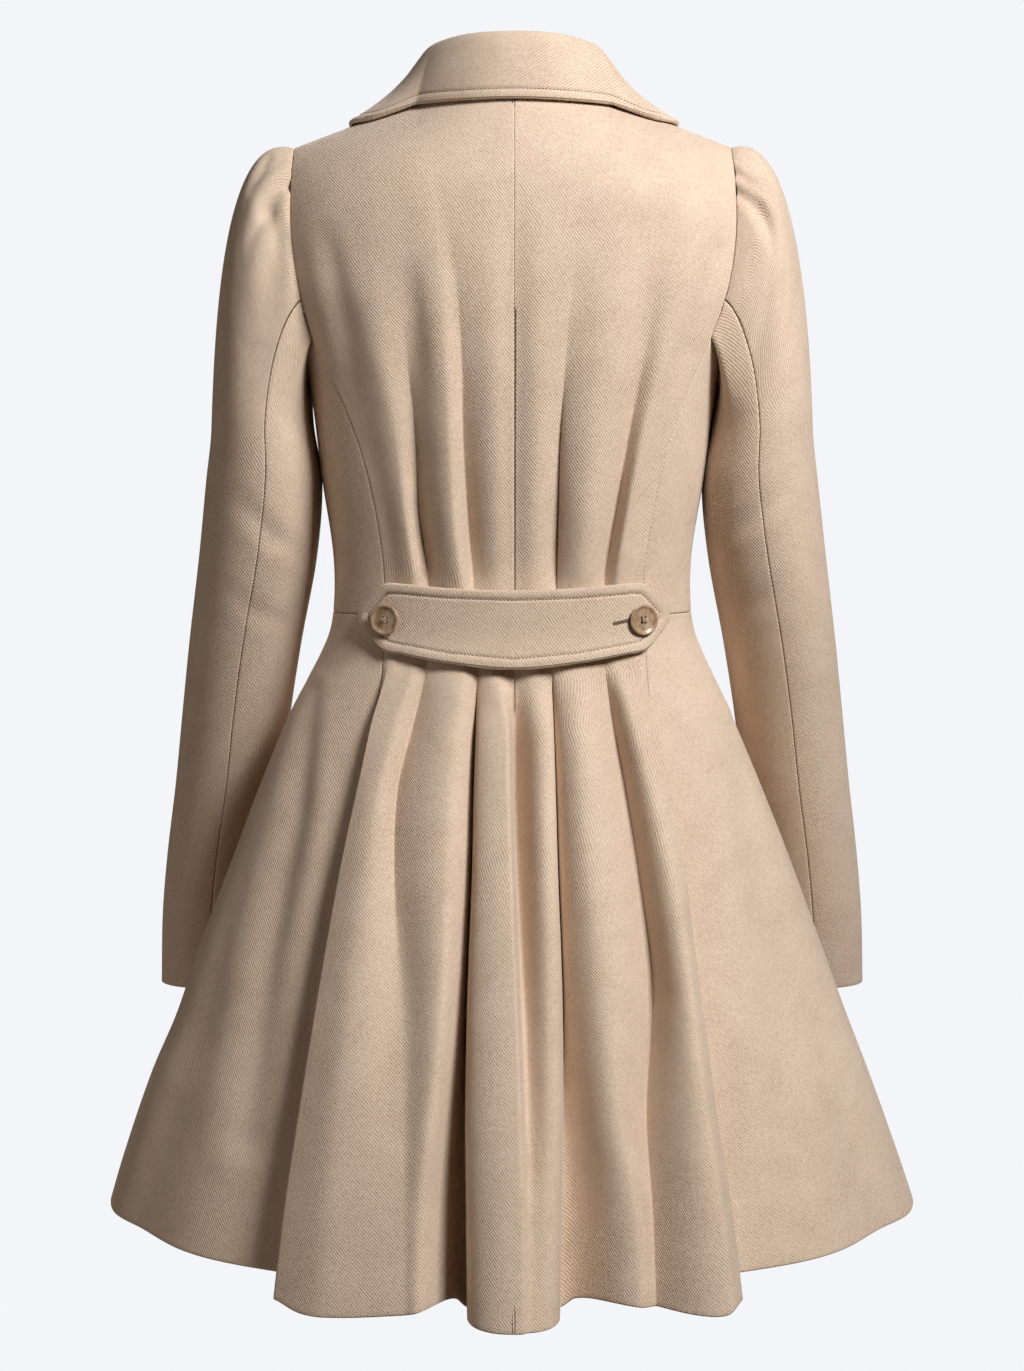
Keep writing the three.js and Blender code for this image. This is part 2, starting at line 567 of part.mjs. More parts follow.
function frontSkirt(side) {
  const surface = (g, v) => {
    const z = mix(WAIST - SEAM_GAP / 2, mix(FRONT_HEM, SIDE_SEAM_HEM, smooth(g)), v);
    const from = angleOf(-OVERLAP, z, side);
    return frontPoint(mix(from, FRONT_SIDE - gapAngle(z, side), g), z, side);
  };
  return wallMesh(`front_skirt_${sideName(side)}`, surface, SKIRT_SHARES, even(9), CLOTH, -WALL * side);
}

// The lapels, each lying on its front beside the roll line

const LAPEL = [
  { z: -72, width: 78 },
  { z: -84, width: 98 },
  { z: -100, width: 92 },
  { z: -150, width: 62 },
  { z: -200, width: 26 },
  { z: -233, width: 5 },
];
const LAPEL_LIFT = 3.6;
const LAPEL_THICK = 3;

function lapel(side) {
  const start = LAPEL[0].z;
  const end = side < 0 ? -232 : -162;
  const surface = (g, v) => {
    const z = mix(start, end, v);
    const own = -frontEdge(z);
    // The inner front's lapel ends where the outer front covers it
    const from = side < 0 ? own + 1 : Math.max(own + 1, frontEdge(z) + 5);
    const x = mix(from, own + read(LAPEL, 'width', z), g);
    const point = frontPoint(angleOf(x, z, side), z, side);
    const nudge = 1e-2;
    const across = frontPoint(angleOf(x + nudge, z, side), z, side).sub(point);
    const down = frontPoint(angleOf(x, z - nudge, side), z - nudge, side).sub(point);
    const normal = across.cross(down).normalize();
    if (normal.y > 0) normal.negate();
    return point.addScaledVector(normal, LAPEL_LIFT);
  };
  return wallMesh(`lapel_${sideName(side)}`, surface, even(10), even(6), CLOTH, side < 0 ? LAPEL_THICK : -LAPEL_THICK);
}

// The collar: neck seam, fold and outer edge by stations from the centre back. The seam and
// the edge lie on the body at a half width and a roll angle over the shoulder, in degrees,
// above zero at the back. The fold stands above the seam and inside or outside of it.
const COLLAR = [
  { at: 0, seamX: 0, seamRoll: 0.6, rise: 44, lean: 6, edgeX: 0, edgeRoll: 29 },
  { at: 0.22, seamX: 34, seamRoll: 0.6, rise: 43, lean: 6, edgeX: 45, edgeRoll: 29 },
  { at: 0.4, seamX: 60, seamRoll: 0.8, rise: 38, lean: 3, edgeX: 84, edgeRoll: 26 },
  { at: 0.52, seamX: 74, seamRoll: -1, rise: 30, lean: -3, edgeX: 112, edgeRoll: 20 },
  { at: 0.64, seamX: 73, seamRoll: -18, rise: 25, lean: -3, edgeX: 128, edgeRoll: 4 },
  { at: 0.76, seamX: 68, seamRoll: -38, rise: 20, lean: -2, edgeX: 129, edgeRoll: -22 },
  { at: 0.88, seamX: 60, seamRoll: -56, rise: 17, lean: 0, edgeX: 122, edgeRoll: -46 },
  { at: 1, seamX: 52, seamRoll: -70, rise: 11, lean: 2, edgeX: 112, edgeRoll: -62 },
];
const COLLAR_THICK = 3.6;
const COLLAR_LIFT = 4.6;

// A point of the body by half width and roll angle, with the direction out of the cloth
function rollPoint(x, roll, side) {
  const place = (wide, bend) => {
    const front = bend < 0;
    const top = topLine(wide, front);
    const drop = (front ? FRONT_ROLL : BACK_ROLL) * (1 - Math.cos(bend));
    const z = top.z - drop;
    return bodyPoint(angleOf(wide, z, side), z, side, front);
  };
  const nudge = 1e-2;
  const bend = radians(roll);
  const point = place(x, bend);
  const across = place(x + nudge, bend).sub(point);
  const down = place(x, bend + nudge * (roll < 0 ? -1 : 1)).sub(point);
  const normal = across.cross(down).normalize();
  if (normal.z < 0) normal.negate();
  return { point, normal };
}

function collarProfile(at, side) {
  const value = (column) => read(COLLAR, column, at, 'at');
  const seam = rollPoint(value('seamX'), value('seamRoll'), side);
  const edge = rollPoint(value('edgeX'), value('edgeRoll'), side);
  const foot = seam.point.clone().addScaledVector(seam.normal, 1.5);
  foot.z += SEAM_GAP;
  const tip = edge.point.clone().addScaledVector(edge.normal, COLLAR_LIFT);
  const away = new THREE.Vector3(tip.x - foot.x, tip.y - foot.y, 0).normalize();
  const forward = smooth((at - 0.5) / 0.5);
  const up = new THREE.Vector3(0, -0.75 * forward, 1 - 0.4 * forward).normalize();
  const fold = foot.clone().addScaledVector(up, value('rise')).addScaledVector(away, value('lean'));
  const reach = value('rise');
  const before = fold.clone().addScaledVector(away, -1).addScaledVector(up, -0.16 * reach);
  const after = fold.clone().addScaledVector(away, 7).addScaledVector(up, -0.1 * reach);
  // The fall is full at the back and lies flatter over the shoulders
  const full = mix(1, 0.1, smooth((at - 0.25) / 0.3));
  const fall = fold.clone().lerp(tip, 0.55).addScaledVector(up, 0.07 * reach * full).addScaledVector(away, 4 * full);
  const stand = foot.clone().lerp(before, 0.5);
  return new THREE.CatmullRomCurve3([foot, stand, before, fold.clone().addScaledVector(away, 3), after, fall, tip]);
}

function collar() {
  const profiles = new Map();
  const profile = (s) => {
    if (!profiles.has(s)) profiles.set(s, collarProfile(Math.abs(s), s < 0 ? -1 : 1));
    return profiles.get(s);
  };
  const surface = (u, v) => {
    const curve = profile(v);
    if (u < 0) return curve.getPoint(0).addScaledVector(curve.getTangent(0), u * 90);
    if (u > 1) return curve.getPoint(1).addScaledVector(curve.getTangent(1), (u - 1) * 90);
    return curve.getPoint(u);
  };
  const stations = even(22).map((t) => 2 * t - 1);
  const along = [0, 0.17, 0.33, 0.42, 0.48, 0.55, 0.66, 0.83, 1];
  return wallMesh('collar', surface, stations, along, CLOTH, -COLLAR_THICK);
}

// The sleeves

// A point of the armhole's edge, turning from the shoulder point round the back
function armhole(turn, side) {
  const bend = radians(((turn % 360) + 360) % 360);
  const front = bend > Math.PI;
  const top = topLine(shoulderHalf(side), front).z - 0.5;
  const z = mix(top, ARMHOLE_DEPTH, (1 - Math.cos(bend)) / 2);
  if (front) return frontPoint(frontSideAngle(z, side), z, side);
  if (z > ARMHOLE_PRINCESS) return bodyPoint(angleOf(princess(z, side), z, side), z, side, false);
  const g = Math.asin(clamp((z - ARMHOLE_PRINCESS) / (ARMHOLE_DEPTH - ARMHOLE_PRINCESS))) / (Math.PI / 2);
  return bodyPoint(mix(seamAngle(z, side), radians(SIDE_ANGLE), g), z, side, false);
}

const HEAD_END = -264;
const CUFF = -726;
const HEAD_ROWS = 7;
const HEAD_LIFT = 0.34; // how steeply the head rises out of its seam at the shoulder
const HEAD_FULL = 0.74; // how far the head stands out over the shoulder
const HEAD_FULL_RIGHT = 0.68;
const ARMHOLE_CLEAR = 1.1; // between the sleeve's edge and the armhole's
const ARM_LEVELS = [-304, -350, -400, -455, -515, -580, -650, CUFF];

function armPoint(turn, z, side) {
  const bend = radians(turn);
  const x = read(SLEEVE, sideName(side), z) + read(SLEEVE, 'wide', z) * Math.cos(bend);
  const y = read(SLEEVE, 'y', z) + read(SLEEVE, 'deep', z) * Math.sin(bend);
  return new THREE.Vector3(x * side, y, z);
}

function headPoint(turn, t, side) {
  const bend = radians(turn);
  const over = (1 + Math.cos(bend)) / 2;
  const start = armhole(turn, side);
  start.x += ARMHOLE_CLEAR * side;
  const end = armPoint(turn, HEAD_END, side);
  const step = 4;
  const leave = end.clone().sub(armPoint(turn, HEAD_END + step, side)).normalize();
  const distance = start.distanceTo(end);
  const out = new THREE.Vector3(
    mix(0.12, 1, over ** 0.6) * side,
    0.3 * Math.sin(bend),
    mix(-1, HEAD_LIFT, over ** 0.45),
  );
  out.normalize().multiplyScalar(distance * mix(0.5, side > 0 ? HEAD_FULL : HEAD_FULL_RIGHT, over));
  leave.multiplyScalar(distance * mix(0.7, 1.3, over));
  const a = 2 * t ** 3 - 3 * t ** 2 + 1;
  const b = t ** 3 - 2 * t ** 2 + t;
  const c = -2 * t ** 3 + 3 * t ** 2;
  const d = t ** 3 - t ** 2;
  const point = start.multiplyScalar(a).addScaledVector(out, b);
  point.addScaledVector(end, c).addScaledVector(leave, d);
  const near = ((turn + 180) % 360 + 360) % 360 - 180;
  for (const tuck of TUCKS) {
    const across = Math.exp(-(((near - tuck.at) / 7) ** 2));
    const along = Math.sin(Math.PI * clamp(t / tuck.reach)) ** 2;
    const middle = armPoint(0, HEAD_END, side).setY(0).setX(read(SLEEVE, sideName(side), HEAD_END) * side);
    middle.z = -150;
    point.add(middle.sub(point).normalize().multiplyScalar(tuck.depth * across * along));
  }
  return point;
}

function sleevePoint(turn, v, side) {
  const rows = HEAD_ROWS + ARM_LEVELS.length;
  const place = v * rows;
  if (place <= HEAD_ROWS) return headPoint(turn, place / HEAD_ROWS, side);
  const i = clamp(Math.floor(place - HEAD_ROWS), 0, ARM_LEVELS.length - 1);
  const from = i === 0 ? HEAD_END : ARM_LEVELS[i - 1];
  return armPoint(turn, mix(from, ARM_LEVELS[i], place - HEAD_ROWS - i), side);
}

// The seam at the back of the arm runs from the armhole down to the back of the cuff
const FRONT_SEAM = 250;
const backSeam = (v) => mix(109, 91, smooth(v / 0.75));

function sleeve(side, under) {
  const rows = even(HEAD_ROWS + ARM_LEVELS.length);
  const gap = 0.3;
  const surface = (u, v) => {
    const from = under ? backSeam(v) + gap : FRONT_SEAM - 360 + gap;
    const to = under ? FRONT_SEAM - gap : backSeam(v) - gap;
    return sleevePoint(mix(from, to, u), v, side);
  };
  const name = `${under ? 'under' : 'top'}_sleeve_${sideName(side)}`;
  return wallMesh(name, surface, rows, even(under ? 6 : 15), CLOTH, -WALL * side);
}

// The half belt, lying on the waist of the back

const BELT = [
  { x: -50, top: -385.5, bottom: -445.5 },
  { x: 0, top: -387, bottom: -450 },
  { x: 50, top: -385.5, bottom: -445.5 },
  { x: 88, top: -382.5, bottom: -439 },
  { x: 99, top: -383, bottom: -437 },
  { x: 105, top: -388, bottom: -431.5 },
  { x: 113, top: -397.5, bottom: -420 },
  { x: 118.5, top: -404, bottom: -412.5 },
];
const BELT_COLUMNS = [0, 10, 20, 30, 40, 50, 60, 70, 79, 88, 94, 99, 105, 113, 118.5];
const BELT_LIFT = 7;
const BELT_THICK = 5;

function beltPoint(x, z) {
  const side = x < 0 ? -1 : 1;
  const place = (wide, high) => bodyPoint(angleOf(wide, high, side), high, side, false);
  const nudge = 1e-2;
  const wide = Math.max(Math.abs(x), nudge);
  const point = place(wide, z);
  const across = place(wide + nudge, z).sub(point);
  const down = place(wide, z - nudge).sub(point);
  const normal = across.cross(down).normalize();
  if (normal.y < 0) normal.negate();
  return { point: point.addScaledVector(normal, BELT_LIFT), normal };
}

function halfBelt() {
  const columns = [...BELT_COLUMNS.slice(1).reverse().map((x) => -x), ...BELT_COLUMNS];
  const surface = (x, v) => {
    const z = mix(read(BELT, 'top', Math.abs(x), 'x'), read(BELT, 'bottom', Math.abs(x), 'x'), v);
    return beltPoint(x, z).point;
  };
  return wallMesh('half_belt', surface, even(3), columns, CLOTH, BELT_THICK);
}

// Buttons of horn: dished, with a raised rim and four holes

const BUTTON_RADIUS = 12.5;
const BUTTON_PROFILE = [
  [0, 0], [10.8, 0], [12.4, 1.8], [12.1, 4.1], [10.6, 4.5], [8.6, 3.3], [0, 2.9],
];
const HOLE_RADIUS = 1.3;
const HOLE_REACH = 2.8;

function manifoldOf(geometry) {
  const position = geometry.getAttribute('position');
  const merged = new Map();
  const points = [];
  const remap = [];
  for (let i = 0; i < position.count; i += 1) {
    const p = [position.getX(i), position.getY(i), position.getZ(i)];
    const key = p.map((value) => Math.round(value * 1e4)).join();
    if (!merged.has(key)) {
      merged.set(key, points.length / 3);
      points.push(...p);
    }
    remap.push(merged.get(key));
  }
  const index = geometry.index.array;
  const faces = [];
  for (let i = 0; i < index.length; i += 3) {
    const [a, b, c] = [remap[index[i]], remap[index[i + 1]], remap[index[i + 2]]];
    if (a !== b && b !== c && a !== c) faces.push(a, b, c);
  }
  const mesh = { numProp: 3, vertProperties: new Float32Array(points), triVerts: new Uint32Array(faces) };
  return new wasm.Manifold(new wasm.Mesh(mesh));
}

function buttonGeometry() {
  const outline = BUTTON_PROFILE.map(([r, h]) => new THREE.Vector2(r, h));
  let body = manifoldOf(new THREE.LatheGeometry(outline, 20));
  for (const [x, y] of [[1, 1], [1, -1], [-1, 1], [-1, -1]]) {
    const hole = new THREE.CylinderGeometry(HOLE_RADIUS, HOLE_RADIUS, 12, 5);
    hole.translate(x * HOLE_REACH, 2, y * HOLE_REACH);
    body = body.subtract(manifoldOf(hole));
  }
  const cut = body.getMesh();
  const geometry = new THREE.BufferGeometry();
  geometry.setAttribute('position', new THREE.BufferAttribute(new Float32Array(cut.vertProperties), 3));
  geometry.setIndex(new THREE.BufferAttribute(new Uint32Array(cut.triVerts), 1));
  return geometry;
}

// How far the cloth's own facets rise above a point of its smooth surface, under a button
function seatHeight(cloth, point, normal) {
  const reach = 20;
  const side = new THREE.Vector3(0, 0, 1).cross(normal).normalize();
  const up = normal.clone().cross(side);
  const ray = new THREE.Raycaster();
  let height = -reach;
  for (const radius of [0, BUTTON_RADIUS / 2, BUTTON_RADIUS * 0.86]) {
    for (const turn of even(8)) {
      const start = point.clone().addScaledVector(normal, reach);
      start.addScaledVector(side, radius * Math.cos(turn * 2 * Math.PI));
      start.addScaledVector(up, radius * Math.sin(turn * 2 * Math.PI));
      ray.set(start, normal.clone().negate());
      const hit = ray.intersectObject(cloth)[0];
      if (hit) height = Math.max(height, reach - hit.distance);
    }
  }
  return height;
}

// A button standing on a piece of cloth at a point, facing along the cloth's normal
function button(name, geometry, cloth, point, normal) {
  const mesh = new THREE.Mesh(geometry, new THREE.MeshStandardMaterial(HORN));
  mesh.name = name;
  mesh.quaternion.setFromUnitVectors(new THREE.Vector3(0, 1, 0), normal);
  mesh.position.copy(point).addScaledVector(normal, seatHeight(cloth, point, normal) + SEAM_GAP);
  return mesh;
}

const BELT_BUTTON = { x: 97, z: -411.5 };
const FRONT_BUTTONS = { x: 52, top: -262, step: -66, rows: 3 };

function buttons(belt, outerFront) {
  const geometry = buttonGeometry();
  const made = [];
  for (const side of [1, -1]) {
    const seat = beltPoint(BELT_BUTTON.x * side, BELT_BUTTON.z);
    made.push(button(`belt_button_${sideName(side)}`, geometry, belt, seat.point, seat.normal));
    for (let row = 0; row < FRONT_BUTTONS.rows; row += 1) {
      const z = FRONT_BUTTONS.top + row * FRONT_BUTTONS.step;
      // All six stand on the outer front, which is the right one
      const point = frontPoint(angleOf(-side * FRONT_BUTTONS.x, z, -1), z, -1);
      const beside = frontPoint(angleOf(-side * FRONT_BUTTONS.x + 0.1, z, -1), z, -1);
      const below = frontPoint(angleOf(-side * FRONT_BUTTONS.x, z - 0.1, -1), z - 0.1, -1);
      const normal = beside.sub(point).cross(below.sub(point)).normalize();
      if (normal.y > 0) normal.negate();
      made.push(button(`front_button_${sideName(side)}_${row + 1}`, geometry, outerFront, point, normal));
    }
  }
  return made;
}

const group = new THREE.Group();
for (const side of [1, -1]) {
  group.add(backPanel(side), sideBodice(side), sideSkirt(side));
  group.add(frontBodice(side), frontSkirt(side), lapel(side));
  group.add(sleeve(side, false), sleeve(side, true));
}
const belt = halfBelt();
group.add(collar(), belt, ...buttons(belt, group.getObjectByName('front_bodice_right')));

export default group;
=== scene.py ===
import math

import bpy
import numpy as np
from mathutils import Matrix, Vector


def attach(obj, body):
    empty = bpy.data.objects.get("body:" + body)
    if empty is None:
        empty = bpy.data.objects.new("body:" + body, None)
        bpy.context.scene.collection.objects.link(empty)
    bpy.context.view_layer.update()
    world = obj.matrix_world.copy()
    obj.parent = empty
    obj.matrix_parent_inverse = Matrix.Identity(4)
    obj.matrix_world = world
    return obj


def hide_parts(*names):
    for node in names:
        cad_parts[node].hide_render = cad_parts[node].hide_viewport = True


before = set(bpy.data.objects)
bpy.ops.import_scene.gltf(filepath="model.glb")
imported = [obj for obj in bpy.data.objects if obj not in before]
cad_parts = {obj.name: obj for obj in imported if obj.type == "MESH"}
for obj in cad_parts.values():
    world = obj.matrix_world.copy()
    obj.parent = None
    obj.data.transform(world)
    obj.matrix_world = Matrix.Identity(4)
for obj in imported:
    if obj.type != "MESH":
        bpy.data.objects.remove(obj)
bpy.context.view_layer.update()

MM = 0.001
LEFT, RIGHT = 1, -1

# Driving sizes
WALL = 2.4
SEAM_GAP = 0.3  # between pieces, as in the CAD
SEAM_CLOSED = 0.04  # what is left of it here between upright edges
CENTRE_LAP = 0.12  # how far each back panel passes the centre line
HEM_UNDERLAP = 2.8  # how far the side skirt reaches under the back panel at the hem
EDGE_ROUND = 1.1  # radius to which a sewn or folded edge is pressed
ROUND = 2.3  # how square the body's sections are, 2 being an ellipse
NECK_HALF = 75
NECK_BACK = 50
NECK_DROP = 4
SHOULDER_SLOPE = 0.376
SHOULDER_HALF = 174
SHOULDER_UNEVEN = 2
BACK_ROLL = 80
FRONT_ROLL = 70
YOKE_END = -125
ARMHOLE_PRINCESS = -192
ARMHOLE_DEPTH = -224
WAIST = -408
SIDE_ANGLE = math.radians(98)
FRONT_SIDE = math.pi - SIDE_ANGLE
FRONT_HEM = -878
SIDE_SEAM_HEM = -879
BREAK = -235
OVERLAP = 65
SEAM_STRIP = 5

# Where the back's forms begin, and over what length they come in
FOLD_START, FOLD_LENGTH = -438, 60  # the pleats under the belt
CREASE_START, CREASE_LENGTH = -150, 120  # the gathers above it
OPEN_START, OPEN_LENGTH = -660, 190  # the rolls beside the box grow round
FADE_START, FADE_LENGTH = -560, 200  # the left rolls' outer feet grow soft
SHUT_START, SHUT_LENGTH = -468, 60  # the centre seam is pressed shut in the box

# Half widths of the cleft above the belt, and to its left and right under it
CLEFT_REACH, CLEFT_LEFT, CLEFT_RIGHT = 13, 3.5, 12.5
CLEFT_BLUNT, CLEFT_STEEP, CLEFT_SLOPE = 2, 3, 1.6
BOX_SQUARE = 0.17
WAVE_FOOT = 1.7
SOFT_FOOT = 2.2
STEEP_FOOT, OPEN_FOOT = 0.5, 1.9

NUDGE = 1e-2  # a short step by which a surface's slope is found


def side_name(side):
    return "left" if side > 0 else "right"


def table(names, *rows):
    """Columns by name, from rows of numbers."""
    return dict(zip(names.split(), np.array(rows, float).T))


# Half widths of the two sides, and depths of the plain body at back and front
BODY = table(
    "z left right back front",
    (0, 182, 182, 84, 66),
    (-40, 186, 186, 90, 76),
    (-70, 188, 187, 96, 90),
    (-110, 190, 188, 102, 106),
    (-150, 188, 186, 106, 118),
    (-192, 173, 172, 108, 126),
    (-225, 163, 162, 107, 128),
    (-304, 152.7, 150.7, 97, 116),
    (-364, 144, 141.5, 89, 103),
    (-408, 144.2, 141.4, 86, 98),
    (-432, 150, 147, 87, 100),
    (-490, 179, 174, 100, 110),
    (-544, 202, 196, 116, 120),
    (-610, 227, 222, 138, 132),
    (-678, 253, 247.5, 161, 142),
    (-730, 270.5, 266.5, 180, 150),
    (-778, 291, 285, 196, 158),
    (-842, 313, 308, 216, 169),
    (-890, 327, 324, 230, 177),
    (-930, 338, 336, 241, 184),
)

# Half widths at which the back's inner and outer folds and its outer edge lie
BACK_LINES = table(
    "z left_in right_in left_out right_out left_edge right_edge",
    (0, 40, 40, 96, 104, 174, 172),
    (-41, 52, 48, 92, 108, 174, 172),
    (-70, 58, 50, 90, 111, 175.5, 174),
    (-110, 51, 48, 88, 112, 175, 174),
    (-150, 44, 45, 86, 110, 169, 168),
    (-192, 41, 41, 84, 103, 158, 154),
    (-225, 40, 39, 81, 97, 142, 139.5),
    (-250, 40, 37, 78, 92, 130.5, 130),
    (-282, 39, 35.5, 76, 87, 118.7, 118.5),
    (-330, 36, 34.5, 74, 79, 107.5, 108.5),
    (-382, 32, 33, 67, 71, 101.3, 101.3),
    (-445, 29, 30, 68, 71, 103, 104),
    (-490, 30, 31, 78, 77, 111, 110.5),
    (-540, 31.5, 32.5, 90, 86, 121.5, 120.5),
    (-600, 32.7, 34, 92, 95.5, 134, 131),
    (-690, 36, 37, 86, 106, 149.5, 142),
    (-780, 37.3, 37.3, 84, 100, 163.5, 153.5),
    (-850, 36.5, 36, 83, 104, 173.5, 164),
    (-930, 35.5, 34.5, 82, 106, 182, 173),
)

# How far the back stands out from the plain body on its crests and in its folds
BACK_RELIEF = table(
    "z box cleft cleft_x in_fold"
    " inner_left out_left outer_left inner_right out_right outer_right edge tuck",
    (-60, 0, 0, 0, 0, 0, 0, 0, 0, 0, 0, 0, 0),
    (-130, 0, 3, 0, -2, 0, -1.5, 0, 0, -1.5, 0, 0, 0),
    (-200, 0, 6, 0, -7, 1, -6, 1, 1, -6, 1, 0, 0),
    (-282, 2, 8, 0, -12, 4, -10, 3, 4, -10, 3, 0, 0),
    (-345, 3, 9, 0, -14, 6, -13, 4, 6, -13, 4, 0, 0),
    (-376, 2, 7, 0, -11, 4, -10, 3, 4, -11, 3, 0, 0),
    (-396, 0, 3, 0, -3, 0, -3, 0, 0, -3, 0, 0, 0),
    (-428, 0, 3, 0, -4, 0, -3, 0, 0, -3, 0, 0, 0),
    (-448, 0, 5, 0, -4, 0, -3, 0, 0, -3, 0, 3, 0.5),
    (-472, 9, 16, -1, -9, 8, -6, 7, 8, -8, 8, 7, 2),
    (-500, 19, 30, -1, -9, 16, -4, 13, 16, -8, 15, 12, 5),
    (-560, 30, 37, -2, -8, 26, 6, 22, 25, -7, 23, 16, 7),
    (-640, 44, 35, -5, -7, 38, 18, 32, 31, -3, 34, 22, 8),
    (-740, 56, 25, -9, -6, 46, 33, 42, 32, -2, 44, 28, 9),
    (-840, 66, 10, -12, -5, 48, 45, 48, 32, 15, 50, 32, 9),
    (-930, 71, 3, -12, -5, 50, 48, 50, 30, 20, 52, 34, 9),
)

# Where the top of each roll lies between its two folds, from the box outward
ROLL_TOP = table(
    "z inner_left outer_left inner_right outer_right",
    (-60, 0.35, 0.42, 0.5, 0.42),
    (-445, 0.32, 0.42, 0.5, 0.42),
    (-504, 0.35, 0.5, 0.42, 0.55),
    (-609, 0.35, 0.55, 0.42, 0.72),
    (-729, 0.45, 0.6, 0.5, 0.8),
    (-842, 0.75, 0.6, 0.78, 0.84),
    (-930, 0.82, 0.6, 0.84, 0.84),
)

# Level sections of the sleeve
SLEEVE = table(
    "z left right y wide deep",
    (-224, 202.5, 199.5, 0, 39, 60),
    (-264, 200, 197, -2, 41, 61),
    (-304, 199.4, 196.2, -7, 46.3, 61),
    (-364, 205.2, 202.8, -18, 47.3, 59),
    (-434, 217, 214.5, -38, 45.3, 55),
    (-494, 226, 223.5, -58, 44, 52),
    (-552, 233.5, 231, -78, 43.8, 51),
    (-615, 243.5, 240.5, -101, 43.2, 50),
    (-667, 249.7, 246.5, -120, 42.8, 50),
    (-726, 253.3, 250.3, -141, 42.2, 50),
)

BACK_HEM = table(
    "at z",
    (0, -922),
    (0.6, -921.6),
    (1, -919),
    (1.15, -912),
    (1.5, -910.5),
    (2, -914.5),
    (2.5, -917.5),
    (2.8, -917),
    (3, -911),
    (4, -899),
)
SIDE_HEM = table(
    "at z",
    (0, -899),
    (0.15, -895),
    (0.33, -890),
    (0.55, -883.5),
    (0.8, -880),
    (1, -879),
)


def read(rows, column, at, first="z"):
    """One column of a table at given places, on a smooth curve through its rows."""
    key, value = rows[first], rows[column]
    at = np.asarray(at, float)
    turned = np.sign(key[1] - key[0])
    i = np.clip(np.searchsorted(key * turned, at * turned) - 1, 0, len(key) - 2)
    lower = np.maximum(np.arange(len(key)) - 1, 0)
    upper = np.minimum(np.arange(len(key)) + 1, len(key) - 1)
    slope = (value[upper] - value[lower]) / (key[upper] - key[lower])
    span = key[i + 1] - key[i]
    t = (at - key[i]) / span
    ease = t * t * (3 - 2 * t)
    rise = t * (1 - t) * span * ((1 - t) * slope[i] - t * slope[i + 1])
    inside = value[i] + (value[i + 1] - value[i]) * ease + rise
    before = value[0] + slope[0] * (at - key[0])
    after = value[-1] + slope[-1] * (at - key[-1])
    return np.where(t < 0, before, np.where(t > 1, after, inside))


def mix(a, b, t):
    return a + (b - a) * t


def smooth(t):
    t = np.clip(t, 0, 1)
    return t * t * (3 - 2 * t)


def unit(vectors):
    return vectors / np.maximum(np.linalg.norm(vectors, axis=-1, keepdims=True), 1e-12)


def spread(start, end, count, gather=0.0):
    """Steps from start to end, closer together at both ends the more they gather."""
    t = np.linspace(0, 1, count + 1)
    return start + (end - start) * (t - gather * np.sin(2 * math.pi * t) / (2 * math.pi))


# The plain body


def half(z, side):
    return read(BODY, side_name(side), z)


def shoulder_half(side):
    return SHOULDER_HALF - (0 if side > 0 else SHOULDER_UNEVEN)


def angle_of(x, z, side):
    """The angle round the section at which the body has a half width of x."""
    share = np.clip(np.abs(x) / half(z, side), 0, 1)
    return np.sign(x) * np.arcsin(share ** (ROUND / 2))


def top_line(x, front):
    """Depth and height of the neckline and shoulder line, from which the body hangs."""
    wide = np.abs(x)
    s = np.minimum(1, wide / NECK_HALF)
    y = 0 * s if front else NECK_BACK * (1 - s * s)
    drop = NECK_DROP if front else NECK_DROP * s * s
    return y, -drop - SHOULDER_SLOPE * np.maximum(0, wide - NECK_HALF)


def body_point(angle, z, side, front):
    """A point of the plain body, on its front or its back half."""
    angle, z = np.broadcast_arrays(angle, z)
    sine, cosine = np.sin(angle), np.cos(angle)
    depth = np.where((cosine > 0) == front, read(BODY, "front", z), read(BODY, "back", z))
    x = half(z, side) * np.sign(sine) * np.abs(sine) ** (2 / ROUND)
    full = depth * np.sign(cosine) * np.abs(cosine) ** (2 / ROUND)
    top_y, top_z = top_line(x, front)
    t = np.clip((top_z - z) / (FRONT_ROLL if front else BACK_ROLL), 0, 1)
    y = top_y + (full - top_y) * np.sqrt(2 * t - t * t)
    return np.stack([x * side, -y if front else y, z + 0 * x], -1)


# The back panels


def roll(t, top, start, end):
    """A roll's height from 0 through 1 to 0; start and end give how steep its two feet are."""
    t = np.where(t < top, t / top, 2 - (1 - t) / (1 - top)) / 2
    return np.sin(math.pi * np.clip(t, 0, 1)) ** mix(start, end, t)


def tuck_at(z):
    return np.where(z < WAIST, np.maximum(0, read(BACK_RELIEF, "tuck", z)), 0)


